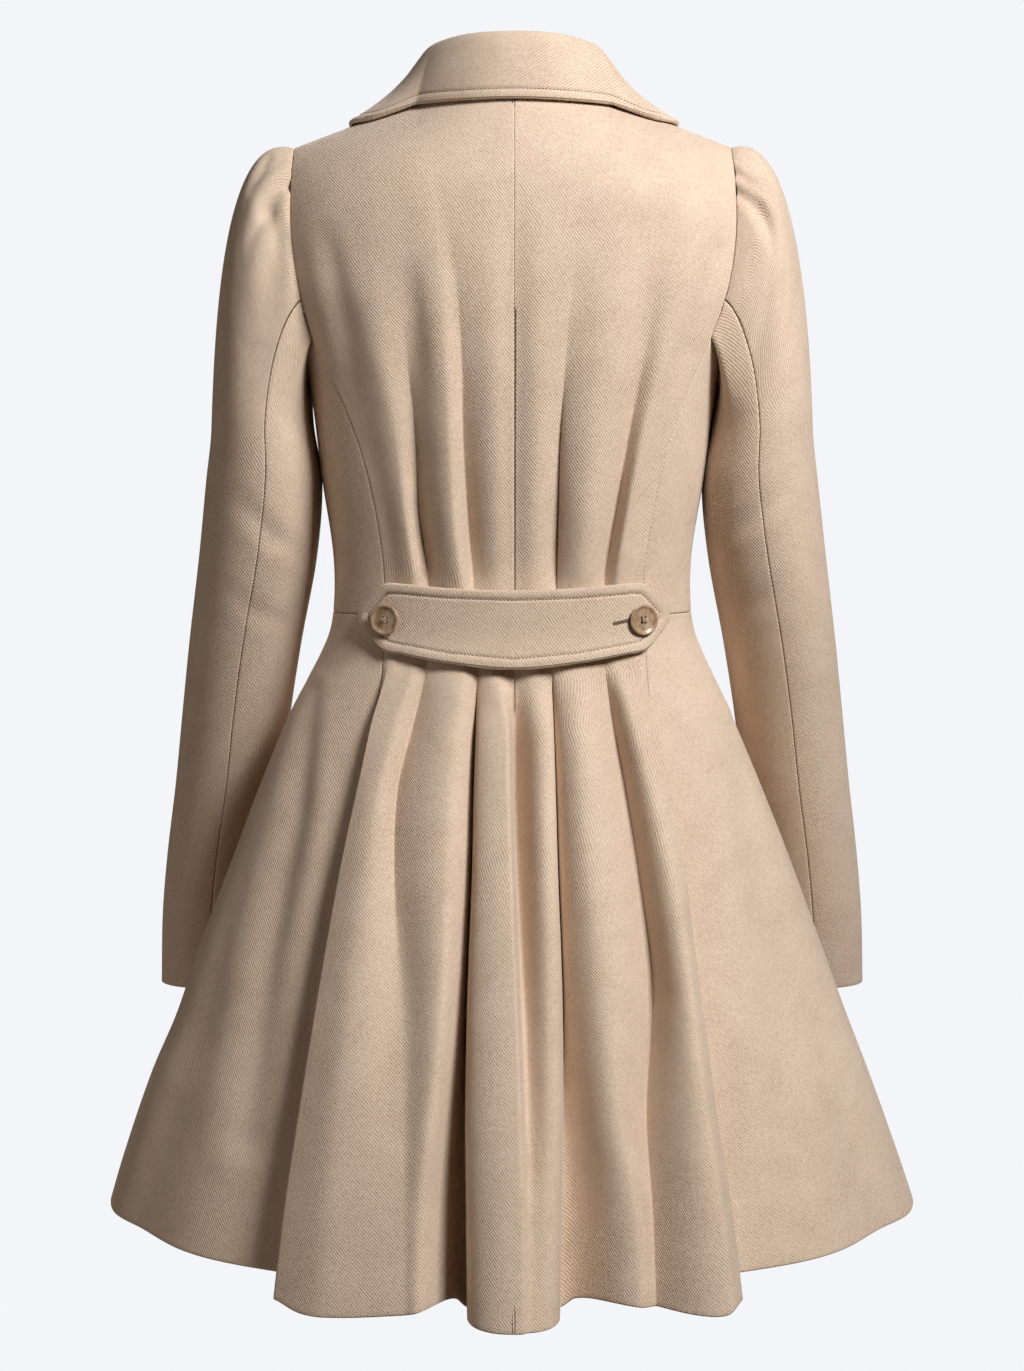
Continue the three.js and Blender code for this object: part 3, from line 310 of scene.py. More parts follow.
def back_point(c, z, side):
    """A point of the back panel: c runs over its box, two rolls and seam strip, 0 to 4."""
    c, z = np.broadcast_arrays(np.asarray(c, float), np.asarray(z, float))
    name = side_name(side)
    line_in = read(BACK_LINES, f"{name}_in", z)
    line_out = read(BACK_LINES, f"{name}_out", z)
    edge = read(BACK_LINES, f"{name}_edge", z)

    def relief(column):
        return np.where(z > BACK_RELIEF["z"][0], 0, read(BACK_RELIEF, column, z))

    fold = smooth((FOLD_START - z) / FOLD_LENGTH)
    crease = smooth((CREASE_START - z) / CREASE_LENGTH)
    strip_edge = edge - SEAM_STRIP * (1 - fold)
    in_fold, out_fold = relief("in_fold"), relief(f"out_{name}")

    # The cleft runs down the middle and turns aside under the right half of the box
    middle = side * line_in * c - relief("cleft_x")
    reach = mix(CLEFT_REACH, np.where(middle > 0, CLEFT_LEFT, CLEFT_RIGHT), fold)
    steepness = mix(CLEFT_BLUNT, np.where(middle > 0, CLEFT_STEEP, CLEFT_SLOPE), fold)
    dip = relief("cleft") * np.exp(-(np.abs(middle / reach) ** steepness))
    rise = np.sin(math.pi * (0.5 + np.minimum(c, 1) / 2)) ** mix(1, BOX_SQUARE, fold)
    box = mix(in_fold, relief("box"), rise) - dip

    def top(column):
        return read(ROLL_TOP, f"{column}_{name}", np.minimum(z, ROLL_TOP["z"][0]))

    t = np.clip(c - 1, 0, 1)
    pleat_foot = mix(STEEP_FOOT, OPEN_FOOT, smooth((OPEN_START - z) / OPEN_LENGTH))
    steep = mix(WAVE_FOOT, mix(1 if side > 0 else 0.6, pleat_foot, fold), crease)
    fading = smooth((FADE_START - z) / FADE_LENGTH) if side > 0 else 0
    soft = mix(WAVE_FOOT, mix(1, SOFT_FOOT, fading), crease)
    foot = np.where(t < top("inner"), in_fold, out_fold)
    inner = mix(foot, relief(f"inner_{name}"), roll(t, top("inner"), steep, soft))

    s = np.clip(c - 2, 0, 1)
    edge_height = relief("edge")
    foot = np.where(s < top("outer"), out_fold, edge_height)
    outer = mix(foot, relief(f"outer_{name}"), roll(s, top("outer"), soft, mix(2, 1, fold)))

    e = np.clip(c - 3, 0, 1)
    bands = [c <= 1, c <= 2, c <= 3]
    x = np.select(
        bands,
        [line_in * c, mix(line_in, line_out, t), mix(line_out, strip_edge, s)],
        mix(strip_edge, edge - tuck_at(z), e),
    )
    out = np.select(bands, [box, inner, outer], edge_height * (1 - e))
    point = body_point(angle_of(x, z, side), z, side, False)
    point[..., 1] += out
    return point


def back_panel(side):
    columns = np.concatenate(
        [
            spread(0, 1, 20, 0.5)[:-1],
            spread(1, 2, 30, 0.6)[:-1],
            spread(2, 3, 30, 0.6)[:-1],
            spread(3, 4, 3),
        ]
    )
    top = np.full(columns.shape, float(top_line(NECK_HALF, False)[1]))
    for _ in range(6):
        top = top_line(back_point(columns, top, side)[..., 0], False)[1]
    bend = np.linspace(0, math.pi / 2, 26)[:-1, None]
    yoke = top + (YOKE_END - top) * (1 - np.cos(bend))
    below = np.linspace(0, 1, 200)[:, None]
    z = np.concatenate([yoke, mix(YOKE_END, read(BACK_HEM, "z", columns, "at"), below)])
    face = back_point(columns, z, side)
    # The centre seam shows down to the belt, and is pressed shut inside the box pleat
    shut = smooth((SHUT_START - face[..., 2]) / SHUT_LENGTH)
    face[..., 0] -= CENTRE_LAP * side * (1 - columns / 2) * (1 - 0.8 * shut)
    face[:, :, 1] += (SEAM_GAP / 2) * np.clip(1 - np.arange(len(z)) / 25, 0, 1)[:, None]
    return face


# The side panels


def princess(z, side):
    """Half width at which the princess seam lies."""
    return read(BACK_LINES, f"{side_name(side)}_edge", z)


def seam_angle(z, side):
    """Where the side panels meet the back, whose edge is tucked in under the belt."""
    return angle_of(princess(z, side) - tuck_at(z), z, side)


def gap_angle(z, side):
    return SEAM_CLOSED / half(z, side)


def armhole_floor(g):
    """The side panel's top edge, from the princess seam down to under the arm."""
    return ARMHOLE_PRINCESS + (ARMHOLE_DEPTH - ARMHOLE_PRINCESS) * np.sin(g * math.pi / 2)


def side_bodice(side):
    g = np.linspace(0, 1, 31)
    v = np.linspace(0, 1, 81)[:, None]
    z = mix(armhole_floor(g), WAIST + SEAM_GAP / 2, v)
    angle = mix(seam_angle(z, side) + gap_angle(z, side), SIDE_ANGLE, g)
    return body_point(angle, z, side, False)


FLARE_WAVE = {LEFT: 5, RIGHT: 6}
FLARE_GROWTH = 470  # from the waist to where the waves are full
UNDER_START, UNDER_LENGTH = -658, 180


def flare_wave(g, z, side):
    """The flare's waves out and in round the side, growing to the hem."""
    grow = smooth((WAIST - z) / FLARE_GROWTH) * smooth((0.8 - g) / 0.3)
    return grow * FLARE_WAVE[side] * np.sin(g * math.pi * 3) * (1 - g) * g * 4


def side_skirt(side):
    g = np.linspace(0, 1, 71)
    v = np.linspace(0, 1, 161)[:, None]
    z = mix(WAIST - SEAM_GAP / 2, read(SIDE_HEM, "z", g, "at"), v)
    # Towards the hem the edge reaches a little under the back panel, which hangs free there
    under = HEM_UNDERLAP * smooth((UNDER_START - z) / UNDER_LENGTH) / half(z, side)
    angle = mix(seam_angle(z, side) + gap_angle(z, side) - under, SIDE_ANGLE, g)
    face = body_point(angle, z, side, False)
    wave = flare_wave(g, z, side)
    face[..., 0] += wave * np.sin(angle) * side
    face[..., 1] += wave * np.cos(angle)
    return face


# The fronts

FRONT_ARMHOLE = table(
    "z x",
    (0, 174),
    (-41, 174),
    (-70, 175),
    (-110, 173),
    (-150, 169),
    (-192, 158),
)
# The fronts lie over one another, which lifts the upper one and lowers the other
FRONT_LIFT = 1.8
LIFT_START, LIFT_LENGTH = -55, 45
LIFT_WIDE, LIFT_FADE = 46, 20


def front_edge(z):
    """The roll line of the lapel, then the front edge: half width past the centre line."""
    return mix(-NECK_HALF, OVERLAP, np.clip((z + NECK_DROP) / (BREAK + NECK_DROP), 0, 1))


def front_lift(x, z, side):
    """How far one front stands out, and the other in, where they lie over one another."""
    across = smooth((OVERLAP + LIFT_WIDE - np.abs(x)) / LIFT_FADE)
    return -side * FRONT_LIFT * across * smooth((LIFT_START - z) / LIFT_LENGTH)


def front_point(angle, z, side):
    point = body_point(angle, z, side, True)
    point[..., 1] -= front_lift(point[..., 0], point[..., 2], side)
    return point


def armhole_front(z, side):
    return read(FRONT_ARMHOLE, "x", z) + shoulder_half(side) - SHOULDER_HALF


def front_side_angle(z, side):
    """The front's outer edge: the armhole, then the side seam under it."""
    chest = angle_of(armhole_front(np.maximum(z, ARMHOLE_PRINCESS), side), z, side)
    fall = np.sqrt(np.clip((ARMHOLE_PRINCESS - z) / (ARMHOLE_PRINCESS - ARMHOLE_DEPTH), 0, 1))
    low = mix(chest, FRONT_SIDE - gap_angle(z, side), 1 - np.sqrt(np.maximum(0, 1 - fall**4)))
    return np.where(z > ARMHOLE_PRINCESS, chest, low)


def front_bodice(side):
    g = np.linspace(0, 1, 71)
    bend = np.linspace(0, math.pi / 2, 22)[:-1, None]
    yoke_share = np.linspace(0, 1, 22)[:-1, None]

    def yoke_z(x):
        top = top_line(x, True)[1]
        return top + (YOKE_END - top) * (1 - np.cos(bend))

    z_yoke = yoke_z(mix(NECK_HALF, shoulder_half(side), g))
    inner = -front_edge(yoke_z(NECK_HALF))
    outer = armhole_front(yoke_z(shoulder_half(side)), side)
    level = mix(angle_of(-front_edge(z_yoke), z_yoke, side), front_side_angle(z_yoke, side), g)
    angle_yoke = mix(angle_of(mix(inner, outer, g), z_yoke, side), level, smooth(yoke_share))
    z_low = np.linspace(YOKE_END, WAIST + SEAM_GAP / 2, 110)[:, None] + 0 * g
    angle_low = mix(angle_of(-front_edge(z_low), z_low, side), front_side_angle(z_low, side), g)
    z = np.concatenate([z_yoke, z_low])
    face = front_point(np.concatenate([angle_yoke, angle_low]), z, side)
    face[:, :, 1] -= (SEAM_GAP / 2) * np.clip(1 - np.arange(len(z)) / 21, 0, 1)[:, None]
    return face


def front_skirt(side):
    g = np.linspace(0, 1, 81)
    v = np.linspace(0, 1, 141)[:, None]
    z = mix(WAIST - SEAM_GAP / 2, mix(FRONT_HEM, SIDE_SEAM_HEM, smooth(g)), v)
    angle = mix(angle_of(-OVERLAP, z, side), FRONT_SIDE - gap_angle(z, side), g)
    return front_point(angle, z, side)


LAPEL = table(
    "z width",
    (-72, 78),
    (-84, 98),
    (-100, 92),
    (-150, 62),
    (-200, 26),
    (-233, 5),
)
# The right front lies over the left one, so the left lapel shows only above it
LAPEL_END = {LEFT: -162, RIGHT: -232}
LAPEL_INSET = 1
LAPEL_CLEAR = 5
LAPEL_LIFT = 3.6
LAPEL_THICK = 3


def lapel(side):
    """A lapel's shown face, laid back over the chest."""
    g = np.linspace(0, 1, 41)
    v = np.linspace(0, 1, 71)[:, None]
    z = mix(LAPEL["z"][0], LAPEL_END[side], v) + 0 * g
    own = -front_edge(z)
    start = own + LAPEL_INSET
    if side > 0:
        start = np.maximum(start, front_edge(z) + LAPEL_CLEAR)
    x = mix(start, own + read(LAPEL, "width", z), g)
    point = front_point(angle_of(x, z, side), z, side)
    across = front_point(angle_of(x + NUDGE, z, side), z, side) - point
    down = front_point(angle_of(x, z - NUDGE, side), z - NUDGE, side) - point
    normal = unit(np.cross(across, down))
    normal *= -np.sign(normal[..., 1:2])
    return point + normal * LAPEL_LIFT


# The collar

COLLAR = table(
    "at seam_x seam_roll rise lean edge_x edge_roll",
    (0, 0, 0.6, 44, 6, 0, 29),
    (0.22, 34, 0.6, 43, 6, 45, 29),
    (0.4, 60, 0.8, 38, 3, 84, 26),
    (0.52, 74, -1, 30, -3, 112, 20),
    (0.64, 73, -18, 25, -3, 128, 4),
    (0.76, 68, -38, 20, -2, 129, -22),
    (0.88, 60, -56, 17, 0, 122, -46),
    (1, 52, -70, 11, 2, 112, -62),
)
COLLAR_THICK = 3.6
COLLAR_LIFT = 4.6  # of its outer edge over the body
STAND_LIFT = 1.5  # of its seam


def roll_point(x, roll, side):
    """Points of the body by half width and roll angle, with the way out of the cloth."""

    def place(wide, bend):
        front = bend < 0
        back_top, front_top = top_line(wide, False)[1], top_line(wide, True)[1]
        fall = 1 - np.cos(bend)
        z = np.where(front, front_top - FRONT_ROLL * fall, back_top - BACK_ROLL * fall)
        angle = angle_of(wide, z, side)
        before, behind = (body_point(angle, z, side, is_front) for is_front in (True, False))
        return np.where(front[..., None], before, behind)

    bend = np.radians(roll)
    point = place(x, bend)
    across = place(x + NUDGE, bend) - point
    down = place(x, bend + NUDGE * np.where(roll < 0, -1, 1)) - point
    normal = unit(np.cross(across, down))
    return point, normal * np.where(normal[..., 2:3] < 0, -1, 1)


def curve_through(points, t):
    """A centripetal Catmull-Rom curve through each row of points, at even shares t."""
    count = points.shape[1]
    before = 2 * points[:, :1] - points[:, 1:2]
    after = 2 * points[:, -1:] - points[:, -2:-1]
    held = np.concatenate([before, points, after], axis=1)
    place = np.clip(t, 0, 1) * (count - 1)
    i = np.minimum(place.astype(int), count - 2)
    w = (place - i)[None, :, None]
    p0, p1, p2, p3 = (held[:, i + k] for k in range(4))
    pairs = (p0, p1), (p1, p2), (p2, p3)
    d0, d1, d2 = (np.linalg.norm(b - a, axis=-1, keepdims=True) ** 0.5 for a, b in pairs)
    leave = ((p1 - p0) / d0 - (p2 - p0) / (d0 + d1) + (p2 - p1) / d1) * d1
    reach = ((p2 - p1) / d1 - (p3 - p1) / (d1 + d2) + (p3 - p2) / d2) * d1
    c2 = -3 * p1 + 3 * p2 - 2 * leave - reach
    c3 = 2 * p1 - 2 * p2 + leave + reach
    return p1 + leave * w + c2 * w**2 + c3 * w**3


def collar_half(at, side, along):
    """Half of the collar: each row goes up its stand, over the crease and down its fall."""

    def value(column):
        return read(COLLAR, column, at, "at")

    seam, seam_normal = roll_point(value("seam_x"), value("seam_roll"), side)
    edge, edge_normal = roll_point(value("edge_x"), value("edge_roll"), side)
    foot = seam + seam_normal * STAND_LIFT + np.array([0, 0, SEAM_GAP])
    tip = edge + edge_normal * COLLAR_LIFT
    away = unit((tip - foot) * np.array([1, 1, 0]))
    forward = smooth((at - 0.5) / 0.5)
    up = unit(np.stack([0 * at, -0.75 * forward, 1 - 0.4 * forward], -1))
    rise = value("rise")[:, None]
    lean = value("lean")[:, None]
    fold = foot + up * rise + away * lean
    before = fold - away - up * 0.16 * rise
    after = fold + away * 7 - up * 0.1 * rise
    full = mix(1, 0.1, smooth((at - 0.25) / 0.3))[:, None]
    fall = mix(fold, tip, 0.55) + up * 0.07 * rise * full + away * 4 * full
    stand = mix(foot, before, 0.5)
    points = np.stack([foot, stand, before, fold + away * 3, after, fall, tip], axis=1)
    return curve_through(points, along)


def collar():
    """The collar's shown face, and how far each point is from its outer edge."""
    along = np.concatenate([np.linspace(0, 0.8, 46)[:-1], np.linspace(0.8, 1, 36)])
    at = np.linspace(0, 1, 101)
    left = collar_half(at, LEFT, along)
    right = collar_half(at, RIGHT, along)
    face = np.concatenate([right[:0:-1], left])
    steps = np.linalg.norm(np.diff(face, axis=1), axis=-1)
    walked = np.cumsum(steps[:, ::-1], axis=1)[:, ::-1]
    from_edge = np.concatenate([walked, np.zeros((len(face), 1))], axis=1)
    normal = unit(np.cross(np.gradient(face, axis=1), np.gradient(face, axis=0))) * -1
    return face + normal * stitched(from_edge - STITCH_INSET, from_edge)[..., None], from_edge, normal


# The sleeves


def armhole(turn, side):
    """A point of the armhole's edge, turning from the shoulder point round the back."""
    bend = np.radians(np.mod(turn, 360))
    front = bend > math.pi
    shoulder = shoulder_half(side)
    back_top, front_top = (top_line(shoulder, is_front)[1] - 0.5 for is_front in (False, True))
    z = mix(np.where(front, front_top, back_top), ARMHOLE_DEPTH, (1 - np.cos(bend)) / 2)
    before = front_point(front_side_angle(z, side), z, side)
    upper = body_point(angle_of(princess(z, side), z, side), z, side, False)
    fall = np.clip((z - ARMHOLE_PRINCESS) / (ARMHOLE_DEPTH - ARMHOLE_PRINCESS), 0, 1)
    g = np.arcsin(fall) / (math.pi / 2)
    lower = body_point(mix(seam_angle(z, side), SIDE_ANGLE, g), z, side, False)
    back = np.where((z > ARMHOLE_PRINCESS)[..., None], upper, lower)
    return np.where(front[..., None], before, back)


HEAD_END = -264  # where the sleeve's level sections begin
CUFF = -726
HEAD_SHARE = 7 / 15  # of the seam's course that lies above them
HEAD_LIFT = 0.34  # how steeply the full head rises out of the shoulder
HEAD_FULL = {LEFT: 0.74, RIGHT: 0.68}
FRONT_SEAM = 250  # in degrees round the arm
# Small tucks in the sleeve's head, by degrees from the shoulder point
TUCKS = table(
    "at depth reach wide",
    (-52, 3.5, 0.30, 7),
    (-26, 4, 0.34, 7),
    (30, 4.5, 0.36, 7),
    (58, 5.5, 0.44, 7),
)


def arm_point(turn, z, side):
    """A point of the sleeve's level sections, by degrees round the arm."""
    bend = np.radians(turn)
    x = read(SLEEVE, side_name(side), z) + read(SLEEVE, "wide", z) * np.cos(bend)
    y = read(SLEEVE, "y", z) + read(SLEEVE, "deep", z) * np.sin(bend)
    return np.stack([x * side, y, z + 0 * x], -1)


def head_point(turn, t, side):
    """A point of the full sleeve head: t runs from the armhole down to HEAD_END, 0 to 1."""
    turn, t = np.broadcast_arrays(turn, t)
    bend = np.radians(turn)
    over = (1 + np.cos(bend)) / 2
    # The head starts a little under the armhole's edge
    start = armhole(turn, side)
    start[..., 0] -= SEAM_GAP * side
    end = arm_point(turn, HEAD_END + 0 * turn, side)
    leave = unit(end - arm_point(turn, HEAD_END + 4 + 0 * turn, side))
    distance = np.linalg.norm(end - start, axis=-1)
    aside, lift = mix(0.12, 1, over**0.75) * side, mix(-1, HEAD_LIFT, over**0.65)
    out = unit(np.stack([aside, 0.3 * np.sin(bend), lift], -1))
    out = out * (distance * mix(0.5, HEAD_FULL[side], over))[..., None]
    leave = leave * (distance * mix(0.7, 1.3, over))[..., None]
    w = t[..., None]
    point = start * (2 * w**3 - 3 * w**2 + 1) + out * (w**3 - 2 * w**2 + w)
    point = point + end * (3 * w**2 - 2 * w**3) + leave * (w**3 - w**2)
    near = np.mod(turn + 180, 360) - 180
    middle = np.array([float(read(SLEEVE, side_name(side), HEAD_END)) * side, 0, -150])
    for at, depth, reach, wide in zip(*TUCKS.values()):
        run = np.sin(math.pi * np.clip(t / reach, 0, 1)) ** 2
        pull = depth * np.exp(-(((near - at) / wide) ** 2)) * run
        point = point + unit(middle - point) * pull[..., None]
    return point


SLEEVE_GAP = 0.3  # in degrees


def back_seam(v):
    """Degrees round the arm at which the sleeve's back seam lies."""
    return mix(109, 91, smooth(v / 0.75))


def sleeve(side, under):
    """The top or under sleeve, from the armhole down to the cuff."""
    u = np.linspace(0, 1, 41 if under else 91)
    head = np.linspace(0, 1, 61)[:-1, None]
    arm = np.linspace(0, 1, 121)[:, None]
    v = np.concatenate([head * HEAD_SHARE, HEAD_SHARE + arm * (1 - HEAD_SHARE)])
    start = back_seam(v) + SLEEVE_GAP if under else FRONT_SEAM - 360 + SLEEVE_GAP + 0 * v
    end = FRONT_SEAM - SLEEVE_GAP + 0 * v if under else back_seam(v) - SLEEVE_GAP
    turn = mix(start, end, u)
    top = head_point(turn[:60], head + 0 * u, side)
    low = arm_point(turn[60:], mix(HEAD_END, CUFF, arm) + 0 * u, side)
    return np.concatenate([top, low])


# The half belt

BELT = table(
    "x top bottom",
    (-50, -385.5, -445.5),
    (0, -387, -450),
    (50, -385.5, -445.5),
    (88, -382.5, -439),
    (99, -383, -437),
    (105, -388, -431.5),
    (113, -397.5, -420),
    (118.5, -404, -412.5),
)
BELT_LIFT = 7  # of its face over the plain body
BELT_THICK = 5


def belt_point(x, z):
    """Points on the belt's face, with the way out of it."""
    points = []
    wide = np.maximum(np.abs(x), NUDGE)
    for side in (LEFT, RIGHT):
        def place(a, b):
            return body_point(angle_of(a, b, side), b, side, False)

        point = place(wide, z)
        normal = unit(np.cross(place(wide + NUDGE, z) - point, place(wide, z - NUDGE) - point))
        normal = normal * np.where(normal[..., 1:2] < 0, -1, 1)
        points.append((point + normal * BELT_LIFT, normal))
    left = (x >= 0)[..., None]
    return np.where(left, points[0][0], points[1][0]), np.where(left, points[0][1], points[1][1])


STITCH_INSET = 8  # of the top stitching from the edge
GROOVE_DEEP, GROOVE_WIDE = 0.9, 0.9
EDGE_PUFF = 0.5  # how far the cloth swells between the stitching and the edge


def belt_outline(inset):
    """The belt's outline in x and z, moved in by an inset."""
    rows = list(zip(BELT["x"][1:], BELT["top"][1:], BELT["bottom"][1:]))
    corners = [(x, top) for x, top, _ in rows] + [(x, bottom) for x, _, bottom in rows[::-1]]
    corners += [(-x, bottom) for x, _, bottom in rows[1:]] + [(-x, top) for x, top, _ in rows[:0:-1]]
    ring = np.array(corners)
    into = unit(ring - np.roll(ring, 1, axis=0))
    leave = np.roll(into, -1, axis=0)
    normal = unit(np.stack([-(into + leave)[:, 1], (into + leave)[:, 0]], -1))
    reach = inset / np.sum(normal * np.stack([-into[:, 1], into[:, 0]], -1), axis=1)
    return ring - normal * reach[:, None]


def to_line(line, x, z):
    """How far points are from a closed line."""
    away = np.full(np.shape(x), np.inf)
    for p, q in zip(line, np.roll(line, -1, axis=0)):
        run = q - p
        t = np.clip(((x - p[0]) * run[0] + (z - p[1]) * run[1]) / (run @ run), 0, 1)
        away = np.minimum(away, np.hypot(x - p[0] - t * run[0], z - p[1] - t * run[1]))
    return away


def stitched(away, from_edge):
    """The height of cloth near a stitch line, pulled in along it and full beside it."""
    puff = EDGE_PUFF * np.sin(math.pi * np.clip(from_edge / STITCH_INSET, 0, 1)) ** 2
    return puff - GROOVE_DEEP * np.exp(-((away / GROOVE_WIDE) ** 2))


def belt_face(x, z):
    """The belt's face, pressed in along its stitching."""
    point, normal = belt_point(x, z)
    seam = to_line(belt_outline(STITCH_INSET), x, z)
    edge = to_line(belt_outline(0), x, z)
    return point + normal * stitched(seam, edge)[..., None]


def half_belt():
    x = np.linspace(-BELT["x"][-1], BELT["x"][-1], 260)
    v = np.linspace(0, 1, 71)[:, None]
    z = mix(read(BELT, "top", np.abs(x), "x"), read(BELT, "bottom", np.abs(x), "x"), v)
    return belt_face(x + 0 * v, z)


def add(name, data):
    """A new object in the scene."""
    made = bpy.data.objects.new(name, data)
    bpy.context.scene.collection.objects.link(made)
    return made


# Laying cloth on a grid of points


def lay_cloth(name, face, thick, turn, anchor=0.0, rounding=None):
    """A sheet of cloth under a grid of points of its shown face, with rounded edges all round.

    Rows run down the piece and columns across it. turn is 1 or -1, for which side is out, and
    anchor the share of the way across at which the weave is true to the columns. rounding
    gives the radius of the edge at each point, where it isn't the same all round."""
    m, n = face.shape[:2]
    across = np.gradient(face, axis=1)
    down = np.gradient(face, axis=0)
    normal = unit(np.cross(across, down)) * turn
    rows = np.r_[np.zeros(n - 1, int), np.arange(m - 1), np.full(n - 1, m - 1), np.arange(m - 1, 0, -1)]
    cols = np.r_[np.arange(n - 1), np.full(m - 1, n - 1), np.arange(n - 1, 0, -1), np.zeros(m - 1, int)]
    outward = np.zeros_like(face)
    outward[0] -= unit(down[0])
    outward[-1] += unit(down[-1])
    outward[:, 0] -= unit(across[:, 0])
    outward[:, -1] += unit(across[:, -1])
    rim, rim_normal, rim_out = face[rows, cols], normal[rows, cols], outward[rows, cols]
    rim_out = unit(rim_out - rim_normal * np.sum(rim_out * rim_normal, axis=-1, keepdims=True))
    radius = np.full((len(rim), 1), EDGE_ROUND) if rounding is None else rounding(rim)[:, None]
    outer = face.copy()
    outer[rows, cols] = rim - rim_out * radius
    inner = outer - normal * thick
    rings = []
    for degrees in (30, 60, 90, 90, 120, 150):
        depth = radius if len(rings) < 3 else thick - radius
        bend = math.radians(degrees)
        middle = rim - rim_out * radius - rim_normal * depth
        rings.append(middle + (rim_normal * math.cos(bend) + rim_out * math.sin(bend)) * radius)

    grid = np.arange(m * n).reshape(m, n)
    loops = [grid[rows, cols]]
    for k in range(len(rings)):
        loops.append(2 * m * n + k * len(rows) + np.arange(len(rows)))
    loops.append(grid[rows, cols] + m * n)
    quads = [np.stack([grid[:-1, :-1], grid[:-1, 1:], grid[1:, 1:], grid[1:, :-1]], -1).reshape(-1, 4)]
    quads.append(quads[0][:, ::-1] + m * n)
    for a, b in zip(loops[:-1], loops[1:]):
        quads.append(np.stack([np.roll(a, -1), a, b, np.roll(b, -1)], -1))
    quads = np.concatenate(quads)
    if turn < 0:
        quads = quads[:, ::-1]
    points = np.concatenate([outer.reshape(-1, 3), inner.reshape(-1, 3)] + rings) * MM

    steps = np.linalg.norm(np.diff(face, axis=1), axis=-1)
    u = np.concatenate([np.zeros((m, 1)), np.cumsum(steps, axis=1)], axis=1)
    u = (u - u[:, [round(anchor * (n - 1))]]) * -turn
    fall = np.linalg.norm(np.diff(face, axis=0), axis=-1).mean(axis=1)
    v = np.repeat(np.r_[0, np.cumsum(fall)][:, None], n, axis=1)
    weave = np.stack([u, -v], -1)
    edge_weave = weave[rows, cols]
    weave = np.concatenate([weave.reshape(-1, 2)] * 2 + [edge_weave] * len(rings)) * MM

    mesh = bpy.data.meshes.new(name)
    mesh.vertices.add(len(points))
    mesh.vertices.foreach_set("co", points.ravel())
    mesh.loops.add(quads.size)
    mesh.loops.foreach_set("vertex_index", quads.ravel())
    mesh.polygons.add(len(quads))
    mesh.polygons.foreach_set("loop_start", np.arange(0, quads.size, 4))
    mesh.update(calc_edges=True)
    mesh.uv_layers.new(name="UVMap").data.foreach_set("uv", weave[quads.ravel()].ravel())
    mesh.shade_smooth()
    return add(name, mesh)


SHUT_ROUND = 0.12  # radius of the centre seam's edges inside the box
SHUT_END = -905


def pressed_shut(rim):
    """Edge rounding of a back panel: next to none where the seam hides in the box pleat."""
    inside = (np.abs(rim[:, 0]) < 1) & (rim[:, 2] > SHUT_END)
    return mix(EDGE_ROUND, SHUT_ROUND, inside * smooth((SHUT_START - rim[:, 2]) / SHUT_LENGTH))


# Soft folds pressed into the cloth


SWELL, SWELL_AWAY, SWELL_WIDE = 0.22, 1.9, 0.8
SOFTER = 0.85  # depth of the right side's folds where they copy the left's


def press(face, turn, folds, facing=0):
    """Moves a grid of points along its normals at soft folds.

    A fold is a run of (x, z, depth, width), where a depth below zero makes a trough, and the
    cloth beside it swells a little the other way. facing is 1 for folds that only the back of
    a piece has, -1 for its front and 0 for both."""
    x, z = face[..., 0], face[..., 2]
    lift = np.zeros(x.shape)
    for fold in folds:
        stops = np.array(fold, float)
        away = np.full(x.shape, np.inf)
        depth, width = np.zeros(x.shape), np.ones(x.shape)
        for p, q in zip(stops[:-1], stops[1:]):
            run = q - p
            along = (x - p[0]) * run[0] + (z - p[1]) * run[1]
            t = np.clip(along / (run[0] ** 2 + run[1] ** 2), 0, 1)
            off = np.hypot(x - p[0] - t * run[0], z - p[1] - t * run[1])
            nearer = off < away
            away = np.where(nearer, off, away)
            depth = np.where(nearer, p[2] + t * run[2], depth)
            width = np.where(nearer, p[3] + t * run[3], width)
        s = away / width
        swell = SWELL * np.exp(-(((s - SWELL_AWAY) / SWELL_WIDE) ** 2))
        lift += depth * (np.exp(-s * s) - swell)
    normal = unit(np.cross(np.gradient(face, axis=1), np.gradient(face, axis=0))) * turn
    if facing:
        lift = lift * smooth(normal[..., 1] * facing * 2)
    return face + normal * lift[..., None]


def sided(folds, side):
    """Folds of the left side, or the same on the right side and a little softer."""
    if side > 0:
        return folds
    return [[(-x, z, depth * SOFTER, width) for x, z, depth, width in fold] for fold in folds]


BODICE_FOLDS = [
    [
        (146, -110, -0.6, 7),
        (141, -135, -2, 8),
        (131, -184, -2.6, 9),
        (127, -219, -1.6, 8),
        (124, -254, 0, 7),
    ],
    [(107.6, -140, 0.3, 8), (104, -184, 1.2, 9), (101, -219, 1.2, 9), (99, -290, 0.2, 8)],
    [(80, -140, -0.4, 7), (78, -167, -2, 8), (75, -202, -2, 8), (72, -240, -0.4, 8)],
    [(-156, -124, -0.5, 7), (-149, -149, -1.8, 8), (-134, -202, -2.2, 8), (-124.5, -228, -0.4, 7)],
    [(-104, -140, -0.4, 7), (-103, -156, -1.6, 8), (-92, -228, -2, 8), (-82.5, -290, -0.4, 8)],
]
SIDE_FOLDS = {
    LEFT: [
        [
            (158, -470, -1, 7),
            (170, -560, -5, 10),
            (181, -612, -6, 12),
            (193, -675, -6, 13),
            (205, -800, -3, 15),
        ]
    ],
    RIGHT: [[(-172, -500, -1, 8), (-190, -600, -2.5, 12), (-204, -700, -3, 14), (-214, -830, -2, 16)]],
}
